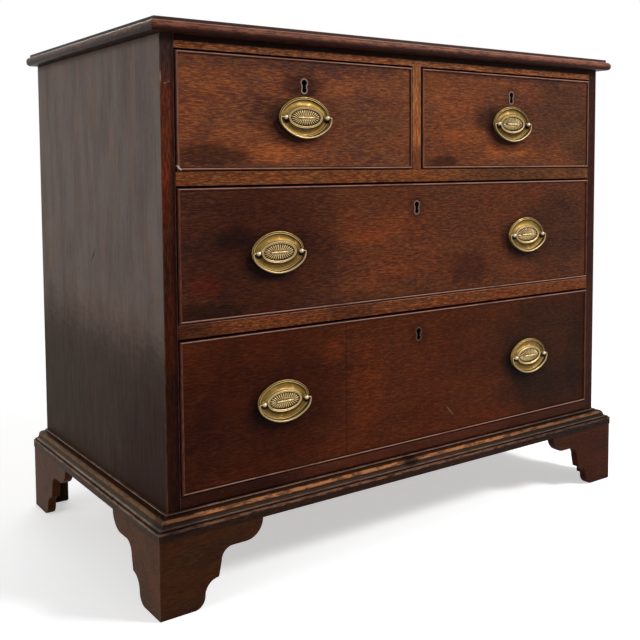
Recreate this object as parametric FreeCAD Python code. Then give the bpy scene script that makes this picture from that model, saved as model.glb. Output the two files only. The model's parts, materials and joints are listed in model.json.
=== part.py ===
import FreeCAD, Part
import math
import os

# Bachelors chest: two short drawers over two long ones, on a mitred base moulding and
# shaped bracket feet. Millimetres. +Z up, the drawers face -Y, +X is to the right.
# The origin is at floor level, in the middle of the whole chest's width and depth.

Vec = FreeCAD.Vector

# ---- carcase, from the floor up ----
FOOT_HEIGHT = 105.0
BOTTOM_RAIL_HEIGHT = 46.5
BOTTOM_OPENING = 215.0
LOWER_RAIL_HEIGHT = 20.0
MIDDLE_OPENING = 186.0
UPPER_RAIL_HEIGHT = 19.5
TOP_OPENING = 162.5
TOP_RAIL_HEIGHT = 18.0
TOP_THICKNESS = 19.0

# ---- carcase, across and deep ----
CARCASE_WIDTH = 880.0
CARCASE_DEPTH = 496.0
SIDE_THICKNESS = 20.5
MUNTIN_WIDTH = 18.0
RAIL_DEPTH = 60.0
BACK_THICKNESS = 9.0
BACK_REBATE = 10.0
BACK_BOARD_COUNT = 5
BACK_BOARD_GAP = 0.6
DUST_BOARD_THICKNESS = 8.0
BOTTOM_BOARD_THICKNESS = 15.0
HOUSING_DEPTH = 6.0

# ---- joints of the carcase ----
TENON_LENGTH = 10.0
TENON_THICKNESS = 9.0
TENON_WIDTH = 34.0
MUNTIN_TENON_LENGTH = 7.0
MUNTIN_TENON_THICKNESS = 8.0
MUNTIN_TENON_WIDTH = 26.0

# ---- small strips inside ----
RUNNER_WIDTH = 22.0
GUIDE_HEIGHT = 16.0
CENTRE_KICKER_WIDTH = 46.0
STOP_OFFSET = 250.0
STOP_HEIGHT = 4.0
STOP_LENGTH = 40.0
STOP_DEPTH = 24.0
STOP_CLEARANCE = 0.4

# ---- moulded edge of the top ----
TOP_OVERHANG = 19.0
TOP_FILLET_HEIGHT = 4.5
TOP_FILLET_SETBACK = 6.5
NOSE_FLAT = 2.0

# ---- base moulding ----
BASE_PROJECTION = 24.0
BASE_FASCIA_HEIGHT = 13.0
BASE_STEP_HEIGHT = 2.4
BASE_STEP_WIDTH = 2.4
BASE_COVE_RADIUS = 4.2
BASE_OVOLO_RADIUS = 6.2
BASE_BEAD_HEIGHT = 2.4
BASE_BEAD_WIDTH = 3.6

# ---- bracket feet ----
BRACKET_LENGTH = 159.0
BRACKET_THICKNESS = 14.0
BRACKET_SETBACK = 0.8
LOBE_RADIUS = 28.0
UPPER_COVE_RADIUS = 17.5
SHIN_LEAN = 4.5
LOWER_COVE_RADIUS = 21.0
HEEL_RADIUS = 17.0
HEEL_FLAT = 50.0
REAR_BRACKET_LENGTH = 112.0
REAR_BRACKET_COVE = 58.0
REAR_BRACKET_EDGE = 14.0
FOOT_BLOCK_SIZE = 28.0
FOOT_BLOCK_LIFT = 10.0
RAIL_BLOCK_SIZE = 18.0
RAIL_BLOCK_LENGTH = 60.0

# ---- drawers ----
DRAWER_SIDE_GAP = 1.6
DRAWER_TOP_GAP = 2.4
DRAWER_BOTTOM_GAP = 1.2
FRONT_THICKNESS = 22.0
DRAWER_SIDE_THICKNESS = 9.0
DRAWER_BACK_THICKNESS = 9.0
DRAWER_REAR_CLEARANCE = 12.0
SIDE_TOP_DROP = 6.0
BACK_TOP_DROP = 8.0
DRAWER_BOTTOM_LIFT = 6.0
DRAWER_BOTTOM_THICKNESS = 7.0
DRAWER_GROOVE_DEPTH = 4.0
LAP_TAIL_LENGTH = 12.0
TAIL_PITCH = 38.0
TAIL_SHARE = 0.66
TAIL_SLOPE = 0.16
BEAD_THICKNESS = 4.0
BEAD_DEPTH = 9.5
BEAD_PROUD = 2.5

# ---- locks and keyholes ----
LOCK_WIDTH = 64.0
LOCK_HEIGHT = 58.0
LOCK_THICKNESS = 11.0
BOLT_WIDTH = 22.0
BOLT_THICKNESS = 6.0
BOLT_LENGTH = 26.0
BOLT_THROW = 8.0
BOLT_CLEARANCE = 0.2
MORTISE_CLEARANCE = 0.6
KEYHOLE_DROP = 41.5
BOTTOM_KEYHOLE_DROP = 40.0
BOTTOM_KEYHOLE_SHIFT = 4.0
KEYHOLE_DEPTH_IN_LOCK = 7.0
KEYHOLE_HEAD_RADIUS = 4.7
KEYHOLE_FOOT_RADIUS = 3.9
KEYHOLE_WAIST = 5.8
KEYHOLE_SPACING = 10.4
ESCUTCHEON_RIM = 1.9
ESCUTCHEON_DEPTH = 3.0
ESCUTCHEON_PROUD = 0.4

# ---- oval handles ----
HANDLE_OFFSET = 257.5
SHORT_HANDLE_DROP = 5.0
MIDDLE_HANDLE_DROP = 3.5
MIDDLE_HANDLE_SHIFT = -4.0
BOTTOM_HANDLE_DROP = -0.5
BOTTOM_HANDLE_SHIFT = 3.0
POST_SPACING = 72.0
PLATE_WIDTH = 88.0
PLATE_HEIGHT = 60.5
PLATE_EDGE = 1.2
PLATE_RIM_HEIGHT = 2.4
PLATE_RIM_WIDTH = 3.8
PLATE_BEVEL = 1.0
PLATE_BAND_WIDTH = 10.4
PLATE_BAND_HEIGHT = 1.7
PLATE_DISH_HEIGHT = 0.9
PLATE_DISH_FLARE = 3.2
PLATE_END_RADIUS = 21.5
BOSS_RING_HEIGHT = 3.6
BOSS_RING_WIDTH = 3.8
BOSS_FIELD_HEIGHT = 2.0
BOSS_BAR_HEIGHT = 3.3
# Half of the bar's baluster outline: distance from its middle, half width.
BOSS_BAR_OUTLINE = [(0.0, 2.7), (2.2, 1.2), (3.4, 1.2), (5.6, 2.2), (11.4, 0.8), (13.0, 1.7), (14.0, 0.9)]
POST_STEM_RADIUS = 2.3
POST_HOLE_CLEARANCE = 0.1
POST_COLLAR_RADIUS = 2.7
POST_SEAT_HEIGHT = 0.8
POST_BALL_RADIUS = 3.5
POST_BALL_STEPS = 6
POST_REACH = 6.4
POST_END = 2.0
NUT_SIZE = 9.0
NUT_THICKNESS = 3.0
PIN_RADIUS = 1.1
PIN_CLEARANCE = 0.05
PIN_DEPTH = 2.2
PIN_END_GAP = 0.4
BAIL_RADIUS = 1.7
BAIL_SECTION_SIDES = 8
BAIL_WIDTH = 91.0
BAIL_DROP = 29.4
BAIL_CORNER_RADIUS = 2.6
BAIL_SHOULDER_RADIUS = 18.0
BAIL_GAP = 0.5

# ---- levels and planes worked out from the sizes above ----
Z_BOTTOM = FOOT_HEIGHT + BOTTOM_RAIL_HEIGHT
Z_LOWER_UNDER = Z_BOTTOM + BOTTOM_OPENING
Z_LOWER = Z_LOWER_UNDER + LOWER_RAIL_HEIGHT
Z_UPPER_UNDER = Z_LOWER + MIDDLE_OPENING
Z_UPPER = Z_UPPER_UNDER + UPPER_RAIL_HEIGHT
Z_TOP_RAIL_UNDER = Z_UPPER + TOP_OPENING
Z_TOP_UNDER = Z_TOP_RAIL_UNDER + TOP_RAIL_HEIGHT
Z_TOP = Z_TOP_UNDER + TOP_THICKNESS

HALF = CARCASE_WIDTH / 2
INNER = HALF - SIDE_THICKNESS
FRONT = BASE_PROJECTION - (CARCASE_DEPTH + BASE_PROJECTION) / 2
BACK = FRONT + CARCASE_DEPTH
BACK_FACE = BACK - BACK_THICKNESS
BEHIND_RAIL = FRONT + RAIL_DEPTH
FRONT_INSIDE = FRONT + FRONT_THICKNESS
DRAWER_END = BACK_FACE - DRAWER_REAR_CLEARANCE
HINGE_Y = FRONT - POST_REACH


# ---- helpers ----

def block(x0, x1, y0, y1, z0, z1):
    """Rectangular block between two corners."""
    return Part.makeBox(x1 - x0, y1 - y0, z1 - z0, Vec(x0, y0, z0))


def on_circle(centre, radius, degrees):
    """Point on a circle in a flat outline."""
    angle = math.radians(degrees)
    return (centre[0] + radius * math.cos(angle), centre[1] + radius * math.sin(angle))


def arc(centre, radius, start, end):
    """Arc step of an outline: the point it passes through, and its end."""
    return (on_circle(centre, radius, (start + end) / 2), on_circle(centre, radius, end))


def outline_edges(place, start, steps):
    """Edges from a start point. place puts (u, v) in space; a step is a point or an arc."""
    edges = []
    here = start
    for step in steps:
        if isinstance(step[0], tuple):
            through, end = step
            edges.append(Part.Arc(place(*here), place(*through), place(*end)).toShape())
        else:
            end = step
            if math.dist(here, end) > 1e-6:
                edges.append(Part.LineSegment(place(*here), place(*end)).toShape())
        here = end
    return edges


def outline_face(place, start, steps):
    """Closed flat face inside an outline."""
    return Part.Face(Part.Wire(outline_edges(place, start, list(steps) + [start])))


def plan_prism(points, z0, z1):
    """Prism over a plan outline given as (x, y) points."""
    face = outline_face(lambda x, y: Vec(x, y, z0), points[0], points[1:])
    return face.extrude(Vec(0, 0, z1 - z0))


def elevation_prism(points, y0, y1):
    """Prism behind a front outline given as (x, z) points."""
    face = outline_face(lambda x, z: Vec(x, y0, z), points[0], points[1:])
    return face.extrude(Vec(0, y1 - y0, 0))


def cylinder_y(x, z, radius, y0, y1):
    """Round bar along Y."""
    return Part.makeCylinder(radius, y1 - y0, Vec(x, y0, z), Vec(0, 1, 0))


def fused(shapes):
    """One solid from pieces that meet or overlap."""
    return shapes[0].multiFuse(shapes[1:]).removeSplitter()


def placed(shape, x, z):
    """Copy of a fitting made about the middle of the front, moved along it to its place."""
    copy = shape.copy()
    copy.translate(Vec(x, 0, z))
    return copy


def mirrored(shape):
    """The same piece on the chest's other side."""
    return shape.mirror(Vec(0, 0, 0), Vec(1, 0, 0))


def save(name, *shapes):
    """Write one node, of one solid or a group of separate solids."""
    solids = [solid for shape in shapes for solid in shape.Solids]
    shape = solids[0] if len(solids) == 1 else Part.makeCompound(solids)
    shape.exportStep("parts/" + name + ".step")


# ---- mouldings that run round the front and both sides ----

def moulded_surround(start, steps, projection, z0, z1):
    """Front, left and right strips of a moulding, mitred at the two front corners.

    The outline is given as (projection from the carcase, height)."""
    x_out = HALF + projection
    y_out = FRONT - projection
    front = outline_face(lambda a, z: Vec(-x_out, FRONT - a, z), start, steps)
    front = front.extrude(Vec(2 * x_out, 0, 0))
    front_plan = [(-HALF, FRONT), (HALF, FRONT), (x_out, y_out), (-x_out, y_out)]
    front = front.common(plan_prism(front_plan, z0, z1))
    left = outline_face(lambda a, z: Vec(-HALF - a, y_out, z), start, steps)
    left = left.extrude(Vec(0, BACK - y_out, 0))
    left_plan = [(-HALF, FRONT), (-x_out, y_out), (-x_out, BACK), (-HALF, BACK)]
    left = left.common(plan_prism(left_plan, z0, z1))
    return [front, left, mirrored(left)]


def make_top():
    """Top board with a small fillet above a half-round nose on three edges."""
    nose_top = Z_TOP - TOP_FILLET_HEIGHT
    radius = (nose_top - Z_TOP_UNDER - NOSE_FLAT) / 2
    centre = TOP_OVERHANG - radius
    steps = [
        (0.0, Z_TOP),
        (TOP_OVERHANG - TOP_FILLET_SETBACK, Z_TOP),
        (TOP_OVERHANG - TOP_FILLET_SETBACK, nose_top),
        (centre, nose_top),
        arc((centre, nose_top - radius), radius, 90, 0),
        (TOP_OVERHANG, Z_TOP_UNDER + radius),
        arc((centre, Z_TOP_UNDER + radius), radius, 0, -90),
    ]
    strips = moulded_surround((0.0, Z_TOP_UNDER), steps, TOP_OVERHANG, Z_TOP_UNDER, Z_TOP)
    board = block(-HALF, HALF, FRONT, BACK, Z_TOP_UNDER, Z_TOP)
    save("top", fused([board] + strips))


def make_base_moulding():
    """Bead, ovolo, cove and a small step above a plain fascia, in three mitred lengths."""
    fascia_top = FOOT_HEIGHT + BASE_FASCIA_HEIGHT
    step_edge = BASE_PROJECTION - BASE_STEP_WIDTH
    step_top = fascia_top + BASE_STEP_HEIGHT
    cove_edge = step_edge - BASE_STEP_WIDTH
    cove_centre = (cove_edge, step_top + BASE_COVE_RADIUS)
    ovolo_edge = cove_edge - BASE_COVE_RADIUS
    ovolo_centre = (ovolo_edge - BASE_OVOLO_RADIUS, cove_centre[1])
    ovolo_top = ovolo_centre[1] + BASE_OVOLO_RADIUS
    bead_top = ovolo_top + BASE_BEAD_HEIGHT
    steps = [
        (BASE_PROJECTION, FOOT_HEIGHT),
        (BASE_PROJECTION, fascia_top),
        (step_edge, fascia_top),
        (step_edge, step_top),
        (cove_edge, step_top),
        arc(cove_centre, BASE_COVE_RADIUS, 270, 180),
        arc(ovolo_centre, BASE_OVOLO_RADIUS, 0, 90),
        (BASE_BEAD_WIDTH, ovolo_top),
        (BASE_BEAD_WIDTH, bead_top),
        (0.0, bead_top),
    ]
    strips = moulded_surround((0.0, FOOT_HEIGHT), steps, BASE_PROJECTION, FOOT_HEIGHT, bead_top)
    save("base_moulding", *strips)


# ---- carcase ----

def rail_tenon(z0, z1):
    """Stub tenon on the left end of a rail between two levels, and its mortise."""
    middle = (z0 + z1) / 2
    y0 = FRONT + (RAIL_DEPTH - TENON_WIDTH) / 2
    return block(-INNER - TENON_LENGTH, -INNER, y0, y0 + TENON_WIDTH,
                 middle - TENON_THICKNESS / 2, middle + TENON_THICKNESS / 2)


def muntin_tenon(z0, z1):
    """Stub tenon between the muntin and the rail above or below it."""
    y1 = BEHIND_RAIL - (RAIL_DEPTH - TENON_WIDTH) / 2
    half = MUNTIN_TENON_THICKNESS / 2
    return block(-half, half, y1 - MUNTIN_TENON_WIDTH, y1, z0, z1)


def lock_mortise(x, z_under):
    """Slot in the underside of a rail that takes a shot lock bolt."""
    half_width = BOLT_WIDTH / 2 + MORTISE_CLEARANCE
    half_thick = BOLT_THICKNESS / 2 + MORTISE_CLEARANCE
    y = bolt_middle_y()
    depth = BOLT_THROW - DRAWER_TOP_GAP + MORTISE_CLEARANCE
    return block(x - half_width, x + half_width, y - half_thick, y + half_thick,
                 z_under, z_under + depth)


def bolt_middle_y():
    """Middle of the lock bolt's thickness, in the lock behind the drawer front's face."""
    return FRONT_INSIDE - LOCK_THICKNESS / 2


RAILS = {
    "bottom_rail": (FOOT_HEIGHT, Z_BOTTOM),
    "lower_rail": (Z_LOWER_UNDER, Z_LOWER),
    "upper_rail": (Z_UPPER_UNDER, Z_UPPER),
    "top_rail": (Z_TOP_RAIL_UNDER, Z_TOP_UNDER),
}
LOWER_MUNTIN_TENON = (Z_UPPER - MUNTIN_TENON_LENGTH, Z_UPPER)
UPPER_MUNTIN_TENON = (Z_TOP_RAIL_UNDER, Z_TOP_RAIL_UNDER + MUNTIN_TENON_LENGTH)
SHORT_MIDDLE = (INNER + MUNTIN_WIDTH / 2) / 2


def make_rails():
    """Four rails tenoned between the sides, cut for the muntin and the lock bolts."""
    cuts = {
        "lower_rail": [lock_mortise(BOTTOM_KEYHOLE_SHIFT, Z_LOWER_UNDER)],
        "upper_rail": [lock_mortise(0, Z_UPPER_UNDER), muntin_tenon(*LOWER_MUNTIN_TENON)],
        "top_rail": [lock_mortise(-SHORT_MIDDLE, Z_TOP_RAIL_UNDER),
                     lock_mortise(SHORT_MIDDLE, Z_TOP_RAIL_UNDER),
                     muntin_tenon(*UPPER_MUNTIN_TENON)],
    }
    for name, (z0, z1) in RAILS.items():
        tenon = rail_tenon(z0, z1)
        rail = block(-INNER, INNER, FRONT, BEHIND_RAIL, z0, z1)
        rail = fused([rail, tenon, mirrored(tenon)])
        for cut in cuts.get(name, []):
            rail = rail.cut(cut)
        save(name, rail)


def make_muntin():
    """Upright between the two short drawers."""
    half = MUNTIN_WIDTH / 2
    post = block(-half, half, FRONT, BEHIND_RAIL, Z_UPPER, Z_TOP_RAIL_UNDER)
    tenons = [muntin_tenon(*LOWER_MUNTIN_TENON), muntin_tenon(*UPPER_MUNTIN_TENON)]
    save("muntin", fused([post] + tenons))


def board_levels():
    """Underside and top of each board housed in the sides: bottom, lower, upper."""
    return [(Z_BOTTOM - BOTTOM_BOARD_THICKNESS, Z_BOTTOM),
            (Z_LOWER - DUST_BOARD_THICKNESS, Z_LOWER),
            (Z_UPPER - DUST_BOARD_THICKNESS, Z_UPPER)]


def housed_board(z0, z1):
    """Board behind a rail, its ends housed in the sides and its back on the back boards."""
    reach = INNER + HOUSING_DEPTH
    return block(-reach, reach, BEHIND_RAIL, BACK_FACE, z0, z1)


def make_boards():
    """Bottom board and the two dust boards between the drawers."""
    bottom, lower, upper = [housed_board(*level) for level in board_levels()]
    save("bottom_board", bottom)
    save("dust_boards", lower, upper)


def make_sides():
    """Side boards with housings, mortises and a rebate for the back."""
    side = block(-HALF, -INNER, FRONT, BACK, FOOT_HEIGHT, Z_TOP_UNDER)
    rebate = block(-INNER - BACK_REBATE, -INNER, BACK_FACE, BACK, FOOT_HEIGHT, Z_TOP_UNDER)
    side = side.cut(rebate)
    for level in board_levels():
        side = side.cut(housed_board(*level))
    for z0, z1 in RAILS.values():
        side = side.cut(rail_tenon(z0, z1))
    save("side_left", side)
    save("side_right", mirrored(side))


def make_back():
    """Upright back boards, side by side between the rebates."""
    reach = INNER + BACK_REBATE
    pitch = 2 * reach / BACK_BOARD_COUNT
    boards = []
    for i in range(BACK_BOARD_COUNT):
        x0 = -reach + i * pitch + (BACK_BOARD_GAP / 2 if i else 0)
        x1 = -reach + (i + 1) * pitch - (BACK_BOARD_GAP / 2 if i < BACK_BOARD_COUNT - 1 else 0)
        boards.append(block(x0, x1, BACK_FACE, BACK, FOOT_HEIGHT, Z_TOP_UNDER))
    save("back_boards", *boards)


def runner_strips():
    """Strips under the ends of the dust boards, behind their rails."""
    strips = []
    for under, level in ((Z_LOWER_UNDER, Z_LOWER), (Z_UPPER_UNDER, Z_UPPER)):
        strip = block(-INNER, -INNER + RUNNER_WIDTH, BEHIND_RAIL, BACK_FACE,
                      under, level - DUST_BOARD_THICKNESS)
        strips += [strip, mirrored(strip)]
    return strips


def kicker_strips():
    """Strips under the top that keep the short drawers level, and the guide between them."""
    side = block(-INNER, -INNER + RUNNER_WIDTH, BEHIND_RAIL, BACK_FACE,
                 Z_TOP_RAIL_UNDER, Z_TOP_UNDER)
    half = CENTRE_KICKER_WIDTH / 2
    centre = block(-half, half, BEHIND_RAIL, BACK_FACE, Z_TOP_RAIL_UNDER, Z_TOP_UNDER)
    guide = block(-MUNTIN_WIDTH / 2, MUNTIN_WIDTH / 2, BEHIND_RAIL, BACK_FACE,
                  Z_UPPER, Z_UPPER + GUIDE_HEIGHT)
    return [side, mirrored(side), centre, guide]


def stop_blocks():
    """Low blocks on the rails that stop each drawer front flush with the carcase."""
    y0 = FRONT_INSIDE + STOP_CLEARANCE
    stops = []
    for z, middles in ((Z_BOTTOM, [-STOP_OFFSET, STOP_OFFSET]),
                       (Z_LOWER, [-STOP_OFFSET, STOP_OFFSET]),
                       (Z_UPPER, [-SHORT_MIDDLE, SHORT_MIDDLE])):
        for x in middles:
            stops.append(block(x - STOP_LENGTH / 2, x + STOP_LENGTH / 2,
                               y0, y0 + STOP_DEPTH, z, z + STOP_HEIGHT))
    return stops


def make_strips():
    """Runners, kickers, centre guide and drawer stops."""
    save("drawer_runners", *(runner_strips() + kicker_strips() + stop_blocks()))


# ---- bracket feet ----

def front_bracket_outline():
    """Start and steps of the shaped bracket: lobe, cove, leaning shin, cove and round heel."""
    lobe = (BRACKET_LENGTH - LOBE_RADIUS, FOOT_HEIGHT)
    brow = FOOT_HEIGHT - LOBE_RADIUS
    heel_edge = HEEL_FLAT + HEEL_RADIUS
    lower_cove = (heel_edge + LOWER_COVE_RADIUS, HEEL_RADIUS)
    shin_foot = (lower_cove[0], HEEL_RADIUS + LOWER_COVE_RADIUS)
    upper_cove = (shin_foot[0] + SHIN_LEAN + UPPER_COVE_RADIUS, brow - UPPER_COVE_RADIUS)
    return (0.0, FOOT_HEIGHT), [
        (BRACKET_LENGTH, FOOT_HEIGHT),
        arc(lobe, LOBE_RADIUS, 0, -90),
        (upper_cove[0], brow),
        arc(upper_cove, UPPER_COVE_RADIUS, 90, 180),
        shin_foot,
        arc(lower_cove, LOWER_COVE_RADIUS, 90, 180),
        arc((HEEL_FLAT, HEEL_RADIUS), HEEL_RADIUS, 0, -90),
        (0.0, 0.0),
    ]


def rear_bracket_outline():
    """Plainer bracket behind a back foot: one deep cove."""
    toe = REAR_BRACKET_LENGTH - REAR_BRACKET_COVE
    cove_centre = (REAR_BRACKET_LENGTH, FOOT_HEIGHT - REAR_BRACKET_EDGE - REAR_BRACKET_COVE)
    return (BRACKET_THICKNESS, FOOT_HEIGHT), [
        (REAR_BRACKET_LENGTH, FOOT_HEIGHT),
        (REAR_BRACKET_LENGTH, FOOT_HEIGHT - REAR_BRACKET_EDGE),
        arc(cove_centre, REAR_BRACKET_COVE, 90, 180),
        (toe, 0.0),
        (BRACKET_THICKNESS, 0.0),
    ]


def bracket(corner, along, inward, outline, mitred):
    """One bracket of a foot. corner is its outer upright edge; along and inward are
    the plan directions of its length and of its thickness."""
    def place(u, w, z):
        return Vec(corner[0] + along[0] * u + inward[0] * w,
                   corner[1] + along[1] * u + inward[1] * w, z)
    face = outline_face(lambda u, z: place(u, 0, z), *outline)
    plank = face.extrude(place(0, BRACKET_THICKNESS, 0) - place(0, 0, 0))
    if not mitred:
        return plank
    plan = [(0, 0), (BRACKET_LENGTH, 0), (BRACKET_LENGTH, BRACKET_THICKNESS),
            (BRACKET_THICKNESS, BRACKET_THICKNESS)]
    points = [place(u, w, 0) for u, w in plan]
    keep = plan_prism([(point.x, point.y) for point in points], 0, FOOT_HEIGHT)
    return plank.common(keep)


def foot_blocks(corner, deep):
    """Upright corner block and two short blocks behind a left foot's brackets.

    deep is +1 for a front foot and -1 for a back foot."""
    x0 = corner[0] + BRACKET_THICKNESS
    y0 = corner[1] + deep * BRACKET_THICKNESS
    size, small = FOOT_BLOCK_SIZE, RAIL_BLOCK_SIZE

    def corner_block(along_x, along_y, x_start, y_start, z0):
        ys = sorted((y0 + deep * y_start, y0 + deep * (y_start + along_y)))
        return block(x0 + x_start, x0 + x_start + along_x, ys[0], ys[1], z0, FOOT_HEIGHT)
    return [corner_block(size, size, 0, 0, FOOT_BLOCK_LIFT),
            corner_block(RAIL_BLOCK_LENGTH, small, size, 0, FOOT_HEIGHT - small),
            corner_block(small, RAIL_BLOCK_LENGTH, 0, size, FOOT_HEIGHT - small)]


def make_feet():
    """Four feet of two brackets each, and the glue blocks behind them."""
    out = BASE_PROJECTION - BRACKET_SETBACK
    front_corner = (-HALF - out, FRONT - out)
    back_corner = (-HALF - out, BACK)
    right, backward, forward = (1, 0), (0, 1), (0, -1)
    front_foot = [bracket(front_corner, right, backward, front_bracket_outline(), True),
                  bracket(front_corner, backward, right, front_bracket_outline(), True)]
    back_foot = [bracket(back_corner, forward, right, front_bracket_outline(), False),
                 bracket(back_corner, right, forward, rear_bracket_outline(), False)]
    save("foot_front_left", *front_foot)
    save("foot_front_right", *[mirrored(piece) for piece in front_foot])
    save("foot_back_left", *back_foot)
    save("foot_back_right", *[mirrored(piece) for piece in back_foot])
    left = foot_blocks(front_corner, 1) + foot_blocks(back_corner, -1)
    save("foot_blocks", *(left + [mirrored(piece) for piece in left]))


# ---- keyholes, locks and bolts ----

def keyhole_prism(x, z, grow, y0, y1):
    """Keyhole shape: round head, narrow waist and smaller round foot."""
    head = z + KEYHOLE_SPACING / 2
    foot = z - KEYHOLE_SPACING / 2
    half = KEYHOLE_WAIST / 2 + grow
    return fused([cylinder_y(x, head, KEYHOLE_HEAD_RADIUS + grow, y0, y1),
                  cylinder_y(x, foot, KEYHOLE_FOOT_RADIUS + grow, y0, y1),
                  block(x - half, x + half, y0, y1, foot, head)])


def escutcheon_body(x, z, y0, y1):
    """Outside of the inlaid brass keyhole rim."""
    return keyhole_prism(x, z, ESCUTCHEON_RIM, y0, y1)


def lock_case(x, z_top):
    """Lock let into the back of the drawer front, flush with its top edge."""
    return block(x - LOCK_WIDTH / 2, x + LOCK_WIDTH / 2,
                 FRONT_INSIDE - LOCK_THICKNESS, FRONT_INSIDE, z_top - LOCK_HEIGHT, z_top)


def lock_bolt(x, z_top, grow):
    """Bolt that slides up out of the lock; grow gives the slot that it runs in."""
    y = bolt_middle_y()
    half_width = BOLT_WIDTH / 2 + grow
    half_thick = BOLT_THICKNESS / 2 + grow
    return block(x - half_width, x + half_width, y - half_thick, y + half_thick,
                 z_top - BOLT_LENGTH - grow, z_top)


# ---- oval handles ----

def oval_arcs(width, height, end_radius):
    """Four-centred oval: (centre, radius, start and end angle) of each arc, from the right."""
    half_w, half_h = width / 2, height / 2
    big = (half_w ** 2 + half_h ** 2 - 2 * half_w * end_radius) / (2 * (half_h - end_radius))
    turn = math.degrees(math.atan2(big - half_h, half_w - end_radius))
    return [((half_w - end_radius, 0.0), end_radius, -turn, turn),
            ((0.0, half_h - big), big, turn, 180 - turn),
            ((end_radius - half_w, 0.0), end_radius, 180 - turn, 180 + turn),
            ((0.0, big - half_h), big, 180 + turn, 360 - turn)]


def plate_profile():
    """Section of the plate's edge as (distance in from the edge, height)."""
    rim = PLATE_RIM_WIDTH
    ring = rim + PLATE_BAND_WIDTH
    flat = ring + BOSS_RING_WIDTH
    return [(0.0, PLATE_EDGE),
            (PLATE_BEVEL, PLATE_RIM_HEIGHT),
            (rim - PLATE_BEVEL, PLATE_RIM_HEIGHT),
            (rim, PLATE_BAND_HEIGHT),
            (rim + PLATE_DISH_FLARE, PLATE_DISH_HEIGHT),
            (ring - PLATE_DISH_FLARE, PLATE_DISH_HEIGHT),
            (ring, PLATE_BAND_HEIGHT),
            (ring + PLATE_BEVEL, BOSS_RING_HEIGHT),
            (flat - PLATE_BEVEL, BOSS_RING_HEIGHT),
            (flat, BOSS_FIELD_HEIGHT)]


def boss_bar():
    """Raised baluster-shaped bar across the middle of the plate."""
    half = BOSS_BAR_OUTLINE
    points = half + [(u, -v) for u, v in reversed(half)]
    points += [(-u, -v) for u, v in half[1:]] + [(-u, v) for u, v in reversed(half[1:])]
    return elevation_prism(points, FRONT - BOSS_BAR_HEIGHT, FRONT)


def plate_solid():
    """Stamped oval plate: rim, hollow band, boss ring and a flat field with a bar."""
    profile = plate_profile()
    flat = profile[-1][0]
    pieces = []
    core_steps = []
    for (cu, cv), radius, start, end in oval_arcs(PLATE_WIDTH, PLATE_HEIGHT, PLATE_END_RADIUS):
        centre = Vec(cu, FRONT, cv)
        section = outline_face(lambda d, h: centre + Vec(radius - d, -h, 0),
                               (0.0, 0.0), profile + [(flat, 0.0)])
        section.rotate(centre, Vec(0, -1, 0), start)
        pieces.append(section.revolve(centre, Vec(0, -1, 0), end - start))
        core_steps.append(arc((cu, cv), radius - flat, start, end))
    core = outline_face(lambda u, v: Vec(u, FRONT, v), core_steps[-1][1], core_steps)
    core = core.extrude(Vec(0, -BOSS_FIELD_HEIGHT, 0))
    return fused([core, boss_bar()] + pieces)


def post_solid(x, pin_side):
    """Ball-headed post through the plate and drawer front; its ball holds a bail pin."""
    end_y = FRONT_INSIDE + NUT_THICKNESS + POST_END
    seat_y = FRONT - POST_SEAT_HEIGHT
    ball_y = HINGE_Y + math.sqrt(POST_BALL_RADIUS ** 2 - POST_COLLAR_RADIUS ** 2)
    turn = math.degrees(math.atan2(ball_y - HINGE_Y, POST_COLLAR_RADIUS))
    ball = [on_circle((0.0, HINGE_Y), POST_BALL_RADIUS, turn - (turn + 90) * i / POST_BALL_STEPS)
            for i in range(1, POST_BALL_STEPS + 1)]
    section = outline_face(lambda r, y: Vec(x + r, y, 0), (0.0, end_y), [
        (POST_STEM_RADIUS, end_y),
        (POST_STEM_RADIUS, seat_y),
        (POST_COLLAR_RADIUS, seat_y),
        (POST_COLLAR_RADIUS, ball_y),
    ] + ball)
    post = section.revolve(Vec(x, 0, 0), Vec(0, 1, 0), 360)
    hole_start = x + pin_side * (POST_BALL_RADIUS - PIN_DEPTH - PIN_END_GAP)
    hole = Part.makeCylinder(PIN_RADIUS + PIN_CLEARANCE, 2 * POST_BALL_RADIUS,
                             Vec(hole_start, HINGE_Y, 0), Vec(pin_side, 0, 0))
    return post.cut(hole)


def nut_solid(x):
    """Square nut on a post, inside the drawer."""
    half = NUT_SIZE / 2
    nut = block(x - half, x + half, FRONT_INSIDE, FRONT_INSIDE + NUT_THICKNESS, -half, half)
    return nut.cut(post_hole(x, FRONT_INSIDE, FRONT_INSIDE + NUT_THICKNESS))


def post_hole(x, y0, y1):
    """Clearance hole for a post's stem."""
    return cylinder_y(x, 0, POST_STEM_RADIUS + POST_HOLE_CLEARANCE, y0, y1)


# The two posts of a handle: how far from its middle, and which way the bail's pin leaves.
POSTS = [(-POST_SPACING / 2, -1), (POST_SPACING / 2, 1)]


def handle_solids():
    """Plate, two posts and two nuts of one handle."""
    plate = plate_solid()
    pieces = []
    for x, pin_side in POSTS:
        seat = cylinder_y(x, 0, POST_COLLAR_RADIUS + POST_HOLE_CLEARANCE,
                          HINGE_Y, FRONT - POST_SEAT_HEIGHT)
        plate = plate.cut(seat).cut(post_hole(x, HINGE_Y, FRONT))
        pieces += [post_solid(x, pin_side), nut_solid(x)]
    return [plate] + pieces


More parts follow.
